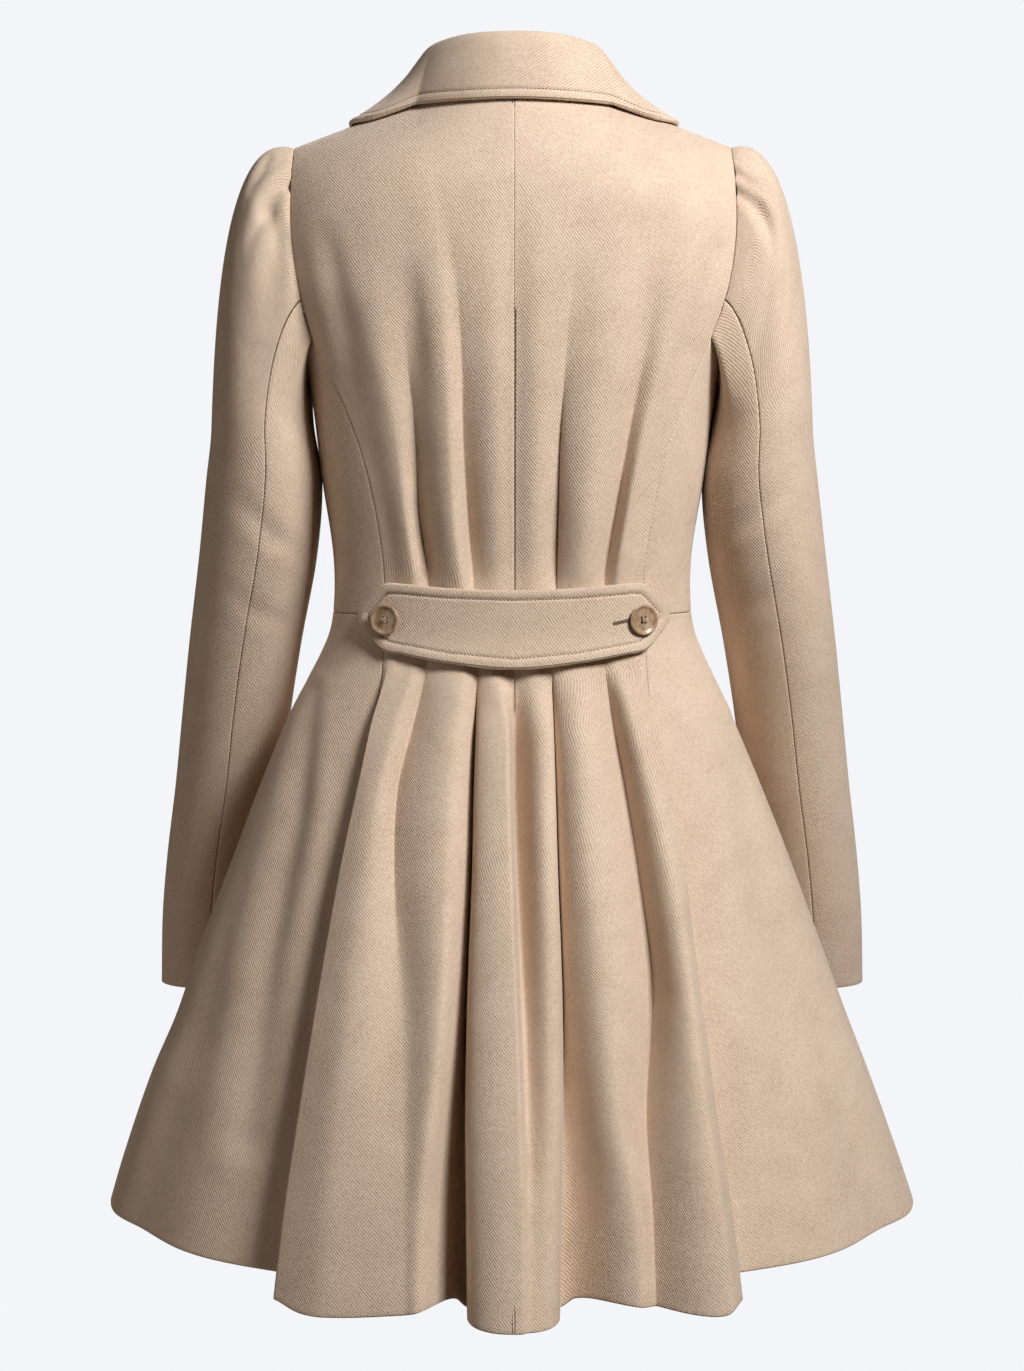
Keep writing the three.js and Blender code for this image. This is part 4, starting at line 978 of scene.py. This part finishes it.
SLEEVE_FOLDS = {
    LEFT: [
        [(193, -50, -1.2, 3), (197, -56, -1.7, 3), (202, -63, -0.4, 3)],
        [(174, -73, -3, 4), (183.8, -73.3, -2.6, 4.5), (190, -79, -1.3, 5), (192, -94.6, -1.6, 6)],
        [(192, -94.6, -1.6, 6), (184.4, -116.3, -2.2, 7), (189.3, -146.7, -2.4, 9), (191, -178, -0.8, 9)],
        [(178, -81, 1.5, 4.5), (174, -152, 0.6, 4.5)],
        [(203, -87, 1.2, 6), (203, -109, 1.3, 7), (198.7, -188, 0.6, 8)],
        [(216, -318, -0.5, 9), (203, -332, -1.5, 8), (188, -350, -1.9, 8), (174, -358, -0.5, 7)],
        [(222, -394, -0.4, 8), (204, -408, -1.4, 9), (186, -416, -0.6, 7)],
    ],
    RIGHT: [
        [(-172, -61, -2, 3), (-183, -68, -1.7, 3.5), (-192, -74, -0.5, 4)],
        [
            (-171, -74.6, -2.8, 3.5),
            (-184.8, -84, -2.3, 4.5),
            (-196.6, -97.2, -1.6, 6),
            (-203.8, -112.8, -0.4, 7),
        ],
        [(-181, -76, 1.2, 3), (-196, -84, 1.3, 4), (-206, -98, 0.4, 6)],
        [
            (-204, -148, -0.4, 8),
            (-196.6, -170.7, -1.7, 8),
            (-189.7, -195.7, -2.2, 9),
            (-183.5, -226, -0.6, 9),
        ],
        [(-218, -304, -0.4, 9), (-199, -322, -1.7, 8), (-182, -338, -1.6, 8), (-170, -346, -0.4, 7)],
        [(-214, -380, -0.4, 8), (-198, -398, -1.3, 9), (-184, -408, -0.5, 7)],
    ],
}
# Creases of the hidden front, like those of the back
SLEEVE_FRONT_FOLDS = [
    [(176, -78, -2, 4), (187, -84, -1.7, 5), (195, -101, -0.7, 6)],
    [(212, -296, -0.4, 9), (196, -322, -2, 8), (180, -336, -1.2, 8)],
    [(224, -372, -0.4, 8), (206, -398, -2, 9), (188, -410, -0.8, 8)],
    [(238, -560, -0.4, 9), (224, -588, -1.3, 10), (212, -600, -0.4, 8)],
]
CHEST_FOLDS = [
    [(152, -214, -0.6, 8), (118, -252, -2, 9), (86, -282, -0.5, 8)],
    [(136, -318, -0.5, 8), (104, -346, -1.8, 8), (82, -362, -0.5, 8)],
    [(148, -92, -0.4, 7), (132, -140, -1.6, 8), (122, -186, -0.4, 8)],
]
SKIRT_FOLDS = [
    [(98, -430, -0.5, 8), (118, -560, -3, 13), (142, -720, -5, 18), (160, -880, -7, 22)],
    [(142, -440, 0.5, 8), (168, -580, 3, 13), (200, -740, 5, 17), (222, -880, 6, 20)],
    [(168, -470, -0.5, 8), (204, -600, -3, 12), (242, -750, -4.5, 16), (268, -880, -6, 18)],
]


# Materials


def node(tree, kind, place, **values):
    made = tree.nodes.new(kind)
    made.location = place
    for key, value in values.items():
        setattr(made, key, value)
    return made


def link(tree, pairs):
    for source, target in pairs:
        tree.links.new(source, target)


def new_material(name):
    material = bpy.data.materials.new(name)
    material.use_nodes = True
    tree = material.node_tree
    tree.nodes.clear()
    out = node(tree, "ShaderNodeOutputMaterial", (900, 0))
    shader = node(tree, "ShaderNodeBsdfPrincipled", (600, 0))
    tree.links.new(shader.outputs["BSDF"], out.inputs["Surface"])
    return material, tree, shader


def ramp(tree, place, stops):
    made = node(tree, "ShaderNodeValToRGB", place)
    band = made.color_ramp
    while len(band.elements) < len(stops):
        band.elements.new(0.5)
    for element, (at, colour) in zip(band.elements, stops):
        element.position = at
        element.color = (*colour, 1)
    return made


def noise(tree, place, vector, scale, detail, roughness=0.5):
    made = node(tree, "ShaderNodeTexNoise", place)
    made.inputs["Scale"].default_value = scale
    made.inputs["Detail"].default_value = detail
    made.inputs["Roughness"].default_value = roughness
    tree.links.new(vector, made.inputs["Vector"])
    return made.outputs["Fac"]


def maths(tree, place, operation, *values):
    """A math node on numbers or sockets."""
    made = node(tree, "ShaderNodeMath", place, operation=operation)
    for socket, value in zip(made.inputs, values):
        if isinstance(value, (int, float)):
            socket.default_value = value
        else:
            tree.links.new(value, socket)
    return made.outputs[0]


def new_bump(tree, height, strength, distance):
    """A bump from a height, with distance in metres."""
    bump = node(tree, "ShaderNodeBump", (200, -200))
    bump.inputs["Strength"].default_value = strength
    bump.inputs["Distance"].default_value = distance
    tree.links.new(height, bump.inputs["Height"])
    return bump.outputs["Normal"]


def set_values(shader, values):
    for name, value in values.items():
        shader.inputs[name].default_value = value


# The wool: a slanting twill in metres of its own cloth, brushed and a little blotched
WALE = 0.0019  # from one twill ridge to the next
WALE_SLANT = math.radians(52)
WALE_DRIFT = 3.5  # how far the ridges wander, in radians of their wave
DARK_WOOL = (0.41, 0.29, 0.2)
MID_WOOL = (0.635, 0.483, 0.36)
PALE_WOOL = (0.755, 0.603, 0.473)


def brushed_wool():
    wool, tree, shader = new_material("brushed_wool")
    uv = node(tree, "ShaderNodeUVMap", (-1600, 0), uv_map="UVMap").outputs["UV"]
    turned = node(tree, "ShaderNodeMapping", (-1400, 0))
    turned.inputs["Rotation"].default_value = (0, 0, WALE_SLANT)
    streaked = node(tree, "ShaderNodeMapping", (-1200, -200))
    streaked.inputs["Scale"].default_value = (260, 760, 1)
    apart = node(tree, "ShaderNodeSeparateXYZ", (-1200, 100))
    link(
        tree,
        [
            (uv, turned.inputs["Vector"]),
            (turned.outputs[0], streaked.inputs["Vector"]),
            (turned.outputs[0], apart.inputs[0]),
        ],
    )
    drift = maths(tree, (-1000, 300), "MULTIPLY", noise(tree, (-1200, 300), uv, 140, 3), WALE_DRIFT)
    phase = maths(tree, (-1000, 100), "MULTIPLY_ADD", apart.outputs["Y"], math.tau / WALE, drift)
    wave = maths(tree, (-900, 100), "SINE", phase)
    ridge = maths(tree, (-800, 100), "MULTIPLY_ADD", wave, 0.5, 0.5)
    floats = noise(tree, (-1000, -200), streaked.outputs[0], 1, 3, 0.6)
    nap = noise(tree, (-1000, -400), uv, 1500, 3, 0.7)
    brushed = noise(tree, (-1000, -600), uv, 38, 4, 0.6)
    blotch = noise(tree, (-1000, -800), uv, 7, 3)
    twill = maths(tree, (-700, 0), "MULTIPLY", ridge, 0.42)
    weave = maths(tree, (-600, 0), "MULTIPLY_ADD", floats, 1.1, twill)
    height = maths(tree, (-500, -100), "MULTIPLY_ADD", nap, 0.55, weave)
    blotched = maths(tree, (-450, 200), "MULTIPLY_ADD", blotch, 0.35, height)
    tone = maths(tree, (-400, 100), "MULTIPLY_ADD", brushed, 0.42, blotched)
    colour = ramp(tree, (-200, 100), [(0.5, DARK_WOOL), (0.76, MID_WOOL), (0.95, PALE_WOOL)])
    rough = maths(tree, (200, 100), "MULTIPLY_ADD", nap, 0.16, 0.8)
    link(
        tree,
        [
            (maths(tree, (-300, 100), "MULTIPLY", tone, 0.56), colour.inputs[0]),
            (colour.outputs[0], shader.inputs["Base Color"]),
            (new_bump(tree, height, 0.62, 0.0007), shader.inputs["Normal"]),
            (rough, shader.inputs["Roughness"]),
        ],
    )
    set_values(shader, {"Sheen Weight": 0.22, "Sheen Roughness": 0.55, "Specular IOR Level": 0.25})
    return wool


# Horn: long brown streaks with soft clouds between them
DARK_HORN = (0.2, 0.115, 0.06)
MID_HORN = (0.4, 0.265, 0.165)
PALE_HORN = (0.6, 0.43, 0.29)


def polished_horn():
    horn, tree, shader = new_material("polished_horn")
    place = node(tree, "ShaderNodeTexCoord", (-1400, 0)).outputs["Object"]
    grain = node(tree, "ShaderNodeMapping", (-1200, 0))
    grain.inputs["Rotation"].default_value = (0.3, 0.2, 0.5)
    grain.inputs["Scale"].default_value = (420, 90, 160)
    tree.links.new(place, grain.inputs["Vector"])
    streaks = noise(tree, (-1000, 0), grain.outputs[0], 1, 4, 0.6)
    cloud = maths(tree, (-800, -100), "MULTIPLY", noise(tree, (-1000, -200), place, 120, 3), 0.4)
    scuffs = noise(tree, (-1000, -400), place, 900, 3)
    tone = maths(tree, (-700, 0), "MULTIPLY_ADD", streaks, 0.6, cloud)
    colour = ramp(tree, (-500, 0), [(0.3, DARK_HORN), (0.5, MID_HORN), (0.72, PALE_HORN)])
    rough = maths(tree, (200, 100), "MULTIPLY_ADD", scuffs, 0.2, 0.2)
    link(
        tree,
        [
            (tone, colour.inputs[0]),
            (colour.outputs[0], shader.inputs["Base Color"]),
            (new_bump(tree, scuffs, 0.15, 0.0002), shader.inputs["Normal"]),
            (rough, shader.inputs["Roughness"]),
        ],
    )
    set_values(shader, {"Coat Weight": 0.25, "Coat Roughness": 0.2})
    return horn


def new_thread(name, dark, light):
    """Twisted thread, whose plies show as slanting bands."""
    material, tree, shader = new_material(name)
    place = node(tree, "ShaderNodeTexCoord", (-900, 0)).outputs["Object"]
    ply = node(tree, "ShaderNodeTexWave", (-600, 0), bands_direction="DIAGONAL")
    ply.inputs["Scale"].default_value = 900
    ply.inputs["Distortion"].default_value = 2
    tree.links.new(place, ply.inputs["Vector"])
    shade = ramp(tree, (-300, 0), [(0.1, dark), (0.9, light)])
    link(
        tree,
        [
            (ply.outputs["Fac"], shade.inputs[0]),
            (shade.outputs[0], shader.inputs["Base Color"]),
            (new_bump(tree, ply.outputs["Fac"], 0.5, 0.0002), shader.inputs["Normal"]),
        ],
    )
    set_values(shader, {"Roughness": 0.62, "Sheen Weight": 0.3})
    return material


wool = brushed_wool()
horn = polished_horn()
# Painted shade: the seam thread is coloured far darker than the cloth. This darkness stands in for the
# shade that falls on the stitches in the grooves they pull, on the belt, the collar and the buttonhole.
seam_thread = new_thread("seam_thread", (0.16, 0.095, 0.055), (0.3, 0.195, 0.125))
button_thread = new_thread("button_thread", (0.4, 0.29, 0.2), (0.68, 0.55, 0.43))


def dress(piece, nodes, material):
    """Gives a piece its material, hangs it from the root body and hides the parts of the model that it
    stands for.
    """
    piece.data.materials.append(material)
    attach(piece, "root")
    if nodes:
        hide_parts(*nodes)
    return piece


cloth = {}
for side in (LEFT, RIGHT):
    name = side_name(side)
    back = press(back_panel(side), side, BODICE_FOLDS)
    cloth[f"back_{name}"] = lay_cloth(f"back_panel_{name}", back, WALL, side, rounding=pressed_shut)
    cloth[f"side_back_bodice_{name}"] = lay_cloth(f"side_bodice_{name}", side_bodice(side), WALL, side)
    flare = press(side_skirt(side), side, SIDE_FOLDS[side])
    cloth[f"side_back_skirt_{name}"] = lay_cloth(f"side_skirt_{name}", flare, WALL, side)
    chest = press(front_bodice(side), -side, sided(CHEST_FOLDS, side))
    cloth[f"front_bodice_{name}"] = lay_cloth(f"chest_front_{name}", chest, WALL, -side)
    skirt = press(front_skirt(side), -side, sided(SKIRT_FOLDS, side))
    cloth[f"front_skirt_{name}"] = lay_cloth(f"skirt_front_{name}", skirt, WALL, -side)
    cloth[f"lapel_{name}"] = lay_cloth(f"wide_lapel_{name}", lapel(side), LAPEL_THICK, -side)
    for part, under in (("top", False), ("under", True)):
        arm = press(sleeve(side, under), -side, SLEEVE_FOLDS[side], 1)
        arm = press(arm, -side, sided(SLEEVE_FRONT_FOLDS, side), -1)
        cloth[f"{part}_sleeve_{name}"] = lay_cloth(f"sleeve_{part}_{name}", arm, WALL, -side)
collar_face, collar_from_edge, collar_normal = collar()
cloth["collar"] = lay_cloth("turned_collar", collar_face, COLLAR_THICK, -1)
cloth["half_belt"] = lay_cloth("back_half_belt", half_belt(), BELT_THICK, 1, anchor=0.5)
for node_name, piece in cloth.items():
    dress(piece, [node_name], wool)


# Stitches: each is a short run of thread that dips into the cloth at both ends

STITCH_PITCH = 3.0
STITCH_LENGTH = 2.3
STITCH_RISE = 0.5
THREAD = 0.36  # radius


def tubes(name, runs, radius, sides=6):
    """One mesh of closed tubes of thread, each along its own run of points."""
    points, faces = [], []
    ring = np.linspace(0, math.tau, sides, endpoint=False)
    for run in runs:
        run = np.asarray(run, float)
        tangent = unit(np.gradient(run, axis=0))
        guide = np.array([0.31, 0.17, 0.93])
        across = unit(np.cross(tangent, guide))
        other = np.cross(tangent, across)
        taper = np.sqrt(np.clip(1 - np.linspace(-1, 1, len(run)) ** 4, 0.12, 1))[:, None, None]
        circle = across[:, None] * np.cos(ring)[:, None] + other[:, None] * np.sin(ring)[:, None]
        first = sum(len(p) for p in points)
        points.append((run[:, None] + circle * radius * taper).reshape(-1, 3))
        for i in range(len(run) - 1):
            for j in range(sides):
                a, b = first + i * sides + j, first + i * sides + (j + 1) % sides
                faces.append((a, b, b + sides, a + sides))
        faces.append(tuple(first + np.arange(sides)[::-1]))
        faces.append(tuple(first + (len(run) - 1) * sides + np.arange(sides)))
    mesh = bpy.data.meshes.new(name)
    mesh.from_pydata(np.concatenate(points) * MM, [], faces)
    mesh.shade_smooth()
    return add(name, mesh)


def stitch_runs(line, normals, closed):
    """Stitches of even length along a line that lies on cloth."""
    if closed:
        line, normals = np.concatenate([line, line[:1]]), np.concatenate([normals, normals[:1]])
    walk = np.r_[0, np.cumsum(np.linalg.norm(np.diff(line, axis=0), axis=1))]
    count = round(walk[-1] / STITCH_PITCH)
    runs = []
    for k in range(count):
        steps = (k + 0.5) * walk[-1] / count + np.linspace(-0.5, 0.5, 6) * STITCH_LENGTH
        rise = STITCH_RISE * (np.sqrt(np.clip(1 - np.linspace(-1, 1, 6) ** 2, 0, 1)) - 0.5)
        at = np.stack([np.interp(steps, walk, line[:, i]) for i in range(3)], -1)
        up = unit(np.stack([np.interp(steps, walk, normals[:, i]) for i in range(3)], -1))
        runs.append(at + up * rise[:, None])
    return runs


def belt_stitches():
    """Stitches all round the belt, in the groove that they pull into it."""
    outline = belt_outline(STITCH_INSET)
    closed = np.concatenate([outline, outline[:1]])
    stops = np.r_[0, np.cumsum(np.linalg.norm(np.diff(closed, axis=0), axis=1))]
    walked = np.linspace(0, stops[-1], 500)[:-1]
    line, up = belt_point(*(np.interp(walked, stops, closed[:, i]) for i in range(2)))
    return stitch_runs(line - up * GROOVE_DEEP, up, True)


def collar_stitches(face, from_edge, normal):
    """Stitches along the collar's outer edge."""

    def along(values):
        line = []
        for away, row in list(zip(-from_edge, values))[2:-2]:
            line.append([np.interp(-STITCH_INSET, away, row[:, k]) for k in range(3)])
        return np.array(line)

    return stitch_runs(along(face), along(normal), False)


# The worked buttonhole at the right end of the belt: bars of thread over a slit
HOLE_FROM, HOLE_TO = np.array([-75.5, -414]), np.array([-88, -411.4])
HOLE_BARS = 22
BAR_REACH, BAR_UNEVEN = 1.35, 0.25
BAR_RADIUS = 0.34


def buttonhole_bars():
    """Runs of thread that bridge the slit, every second one a little longer."""
    bars = []
    for k in range(HOLE_BARS):
        x, z = mix(HOLE_FROM, HOLE_TO, k / (HOLE_BARS - 1))
        reach = BAR_REACH + (BAR_UNEVEN if k % 2 else 0)
        xs = x + np.array([-0.25, 0, 0.25, 0.3])
        zs = z + np.array([-reach, -0.45, 0.45, reach])
        at, up = belt_point(xs, zs)
        bars.append(at + up * np.array([0.1, 0.6, 0.6, 0.1])[:, None])
    return bars


# The belt, collar and buttonhole stitches use the darkened thread, whose colour is painted shade.
belt_stitching = dress(tubes("belt_stitching", belt_stitches(), THREAD), [], seam_thread)
collar_runs = collar_stitches(collar_face, collar_from_edge, collar_normal)
collar_stitching = dress(tubes("collar_stitching", collar_runs, THREAD), [], seam_thread)
bars = tubes("worked_buttonhole", buttonhole_bars(), BAR_RADIUS)
buttonhole = dress(bars, [], seam_thread)


# Buttons: a dished disc with a raised rim and four holes, sewn on with crossed thread

DISC_RADIUS = 10.6
DISC_HIGH = 3
HOLE_OUT = 2.6
HOLE_RADIUS = 1.05
HOLE_TURNS = [math.radians(45 + 90 * k) for k in range(4)]
# How each ring of the button widens and rises from the one before it
RIM = (1.14, 0), (1.01, 0.6), (0.985, 0.5), (0.955, 0.3), (0.94, 0.05), (0.93, -0.3), (0.92, -0.55)
DISH = (0.94, -0.3), (0.9, -0.12), (0.5, -0.06)


def clear_selection():
    if bpy.context.object and bpy.context.object.mode != "OBJECT":
        bpy.ops.object.mode_set(mode="OBJECT")
    bpy.ops.object.select_all(action="DESELECT")


def shape_button():
    """A button round the origin, lying on its back with its face up."""
    clear_selection()
    bpy.ops.mesh.primitive_cylinder_add(
        vertices=64,
        radius=DISC_RADIUS * MM,
        depth=DISC_HIGH * MM,
        location=(0, 0, DISC_HIGH / 2 * MM),
    )
    button = bpy.context.object
    bpy.ops.object.mode_set(mode="EDIT")
    bpy.ops.mesh.select_all(action="DESELECT")
    bpy.ops.object.mode_set(mode="OBJECT")
    for face in button.data.polygons:
        face.select = face.normal.z > 0.9
    bpy.ops.object.mode_set(mode="EDIT")
    # The rim is drawn out and rounded, then the dish is sunk inside it
    for scale, rise in RIM + DISH:
        bpy.ops.mesh.extrude_region_move(TRANSFORM_OT_translate={"value": (0, 0, rise * MM)})
        bpy.ops.transform.resize(value=(scale, scale, 1), center_override=(0, 0, 0))
    bpy.ops.object.mode_set(mode="OBJECT")
    bevel = button.modifiers.new("soft_edges", "BEVEL")
    bevel.width = 0.25 * MM
    bevel.segments = 2
    bevel.limit_method = "ANGLE"
    bpy.ops.object.modifier_apply(modifier=bevel.name)
    for bend in HOLE_TURNS:
        clear_selection()
        bpy.ops.mesh.primitive_cylinder_add(
            vertices=20,
            radius=HOLE_RADIUS * MM,
            depth=20 * MM,
            location=(HOLE_OUT * math.cos(bend) * MM, HOLE_OUT * math.sin(bend) * MM, 0),
        )
        drill = bpy.context.object
        clear_selection()
        button.select_set(True)
        bpy.context.view_layer.objects.active = button
        cut = button.modifiers.new("hole", "BOOLEAN")
        cut.operation = "DIFFERENCE"
        cut.solver = "EXACT"
        cut.object = drill
        bpy.ops.object.modifier_apply(modifier=cut.name)
        bpy.data.objects.remove(drill)
    bpy.ops.object.shade_smooth_by_angle(angle=math.radians(35))
    return button


def seat(held, outward):
    """The place of a node's button: its foot's middle, with its face turned outward."""
    points = np.array([held.matrix_world @ v.co for v in held.data.vertices])
    middle = points.mean(axis=0)
    axis = np.linalg.eigh(np.cov((points - middle).T))[1][:, 0]
    axis *= np.sign(axis[1]) * outward
    right = unit(np.cross([0, 0, 1], axis))
    stand = np.eye(4)
    stand[:3, 0], stand[:3, 1], stand[:3, 2] = right, np.cross(axis, right), axis
    stand[:3, 3] = middle + axis * ((points - middle) @ axis).min()
    return Matrix(stand.tolist())


STRAND_APART = 0.28  # half the way between the two strands of a hole
STRAND_RADIUS = 0.27


def crossed_strands():
    """Two strands of thread out of each hole, crossing in the button's middle."""
    strands = []
    for k, bend in enumerate(HOLE_TURNS):
        wide = HOLE_OUT * np.array([1, 1, 0.4, 0])
        over = 0.1 * (k % 2)
        for shift in (-STRAND_APART, STRAND_APART):
            x = wide * math.cos(bend) - shift * math.sin(bend)
            y = wide * math.sin(bend) + shift * math.cos(bend)
            z = np.array([1.2, 3.1, 3.65 + over, 3.75 + over])
            strands.append(np.stack([x, y, z], -1))
    return strands


pattern = shape_button()
for node_name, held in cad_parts.items():
    if "button" not in node_name:
        continue
    place = seat(held, 1 if node_name.startswith("belt") else -1)
    button = add(f"horn_{node_name}", pattern.data.copy())
    button.data.transform(place)
    dress(button, [node_name], horn)
    sewing = tubes(f"sewing_{node_name}", crossed_strands(), STRAND_RADIUS)
    sewing.data.transform(place)
    dress(sewing, [], button_thread)
bpy.data.objects.remove(pattern)

# The cut of each piece: width, length and area of its flat cloth in metres
CUTS = {
    "back_panel": (0.33, 0.99, 0.2, "gathered", ["side_bodice"]),
    "side_bodice": (0.11, 0.2, 0.0195, "hung", ["chest_front"]),
    "side_skirt": (0.32, 0.51, 0.106, "hung", ["side_bodice"]),
    "chest_front": (0.275, 0.45, 0.09, "hung", ["back_panel"]),
    "skirt_front": (0.445, 0.49, 0.166, "hung", ["chest_front"]),
    "sleeve_top": (0.31, 0.685, 0.118, "gathered", ["back_panel", "chest_front"]),
    "sleeve_under": (0.2, 0.555, 0.0735, "hung", ["side_bodice", "chest_front"]),
}
for piece in cloth.values():
    kind, _, half_name = piece.name.rpartition("_")
    if kind in CUTS:
        wide, long, area, held, above = CUTS[kind]

# The camera, light and floor
AIM = Vector((1.6, 0, -468)) * MM
DISTANCE = 3.2
PITCH = math.radians(4)
LENS = 105.03
SENSOR = 36
FLOOR = -1.42
PAPER = (0.905, 0.913, 0.939, 1)
GLOW = (1, 0.76, 0.56, 1)
FLOOR_TONE = (0.16, 0.12, 0.09, 1)

camera_data = bpy.data.cameras.new("camera")
camera_data.lens = LENS
camera_data.sensor_width = SENSOR
camera = add("camera", camera_data)
camera.location = AIM + Vector((0, math.cos(PITCH), math.sin(PITCH))) * DISTANCE
camera.rotation_euler = (math.pi / 2 - PITCH, 0, math.pi)
bpy.context.scene.camera = camera
bpy.context.scene.view_settings.view_transform = "Standard"


def soft_light(name, place, size, watts, colour):
    """A square studio light that faces the middle of the coat."""
    lamp = bpy.data.lights.new(name, "AREA")
    lamp.shape = "SQUARE"
    lamp.size = size
    lamp.energy = watts
    lamp.color = colour
    held = add(name, lamp)
    held.location = place
    held.rotation_euler = (AIM - Vector(place)).to_track_quat("-Z", "Y").to_euler()


soft_light("key_light", place=(-1.17, 1.37, 1.0), size=0.75, watts=67, colour=(1, 0.99, 0.98))
soft_light("fill_light", place=(3.3, 0.9, -0.8), size=1.6, watts=21, colour=(1, 0.93, 0.86))
soft_light("front_light", place=(-0.2, -2.7, 1.13), size=1.8, watts=66, colour=(1, 0.97, 0.94))


def pale_behind(tree, output, lighting, shown):
    """The camera sees one shader, and the light that reaches the coat comes from another."""
    tree.nodes.clear()
    out = node(tree, output, (400, 0))
    choice = node(tree, "ShaderNodeMixShader", (200, 0))
    rays = node(tree, "ShaderNodeLightPath", (0, 300))
    shaders = []
    for kind, place, values in ((lighting[0], (0, -100), lighting[1]), (shown[0], (0, 100), shown[1])):
        shader = node(tree, kind, place)
        set_values(shader, values)
        shaders.append(shader.outputs[0])
    link(
        tree,
        [
            (rays.outputs["Is Camera Ray"], choice.inputs[0]),
            (shaders[0], choice.inputs[1]),
            (shaders[1], choice.inputs[2]),
            (choice.outputs[0], out.inputs["Surface"]),
        ],
    )


world = bpy.data.worlds.new("studio")
world.use_nodes = True
bpy.context.scene.world = world
pale_behind(
    world.node_tree,
    "ShaderNodeOutputWorld",
    lighting=("ShaderNodeBackground", {"Color": GLOW, "Strength": 0.02}),
    shown=("ShaderNodeBackground", {"Color": PAPER}),
)

bpy.ops.object.select_all(action="DESELECT")
bpy.ops.mesh.primitive_plane_add(size=30, location=(0, 0, FLOOR))
floor = bpy.context.object
floor.name = "studio_floor"
paper = bpy.data.materials.new("pale_paper")
paper.use_nodes = True
pale_behind(
    paper.node_tree,
    "ShaderNodeOutputMaterial",
    lighting=("ShaderNodeBsdfDiffuse", {"Color": FLOOR_TONE}),
    shown=("ShaderNodeEmission", {"Color": PAPER}),
)
floor.data.materials.append(paper)
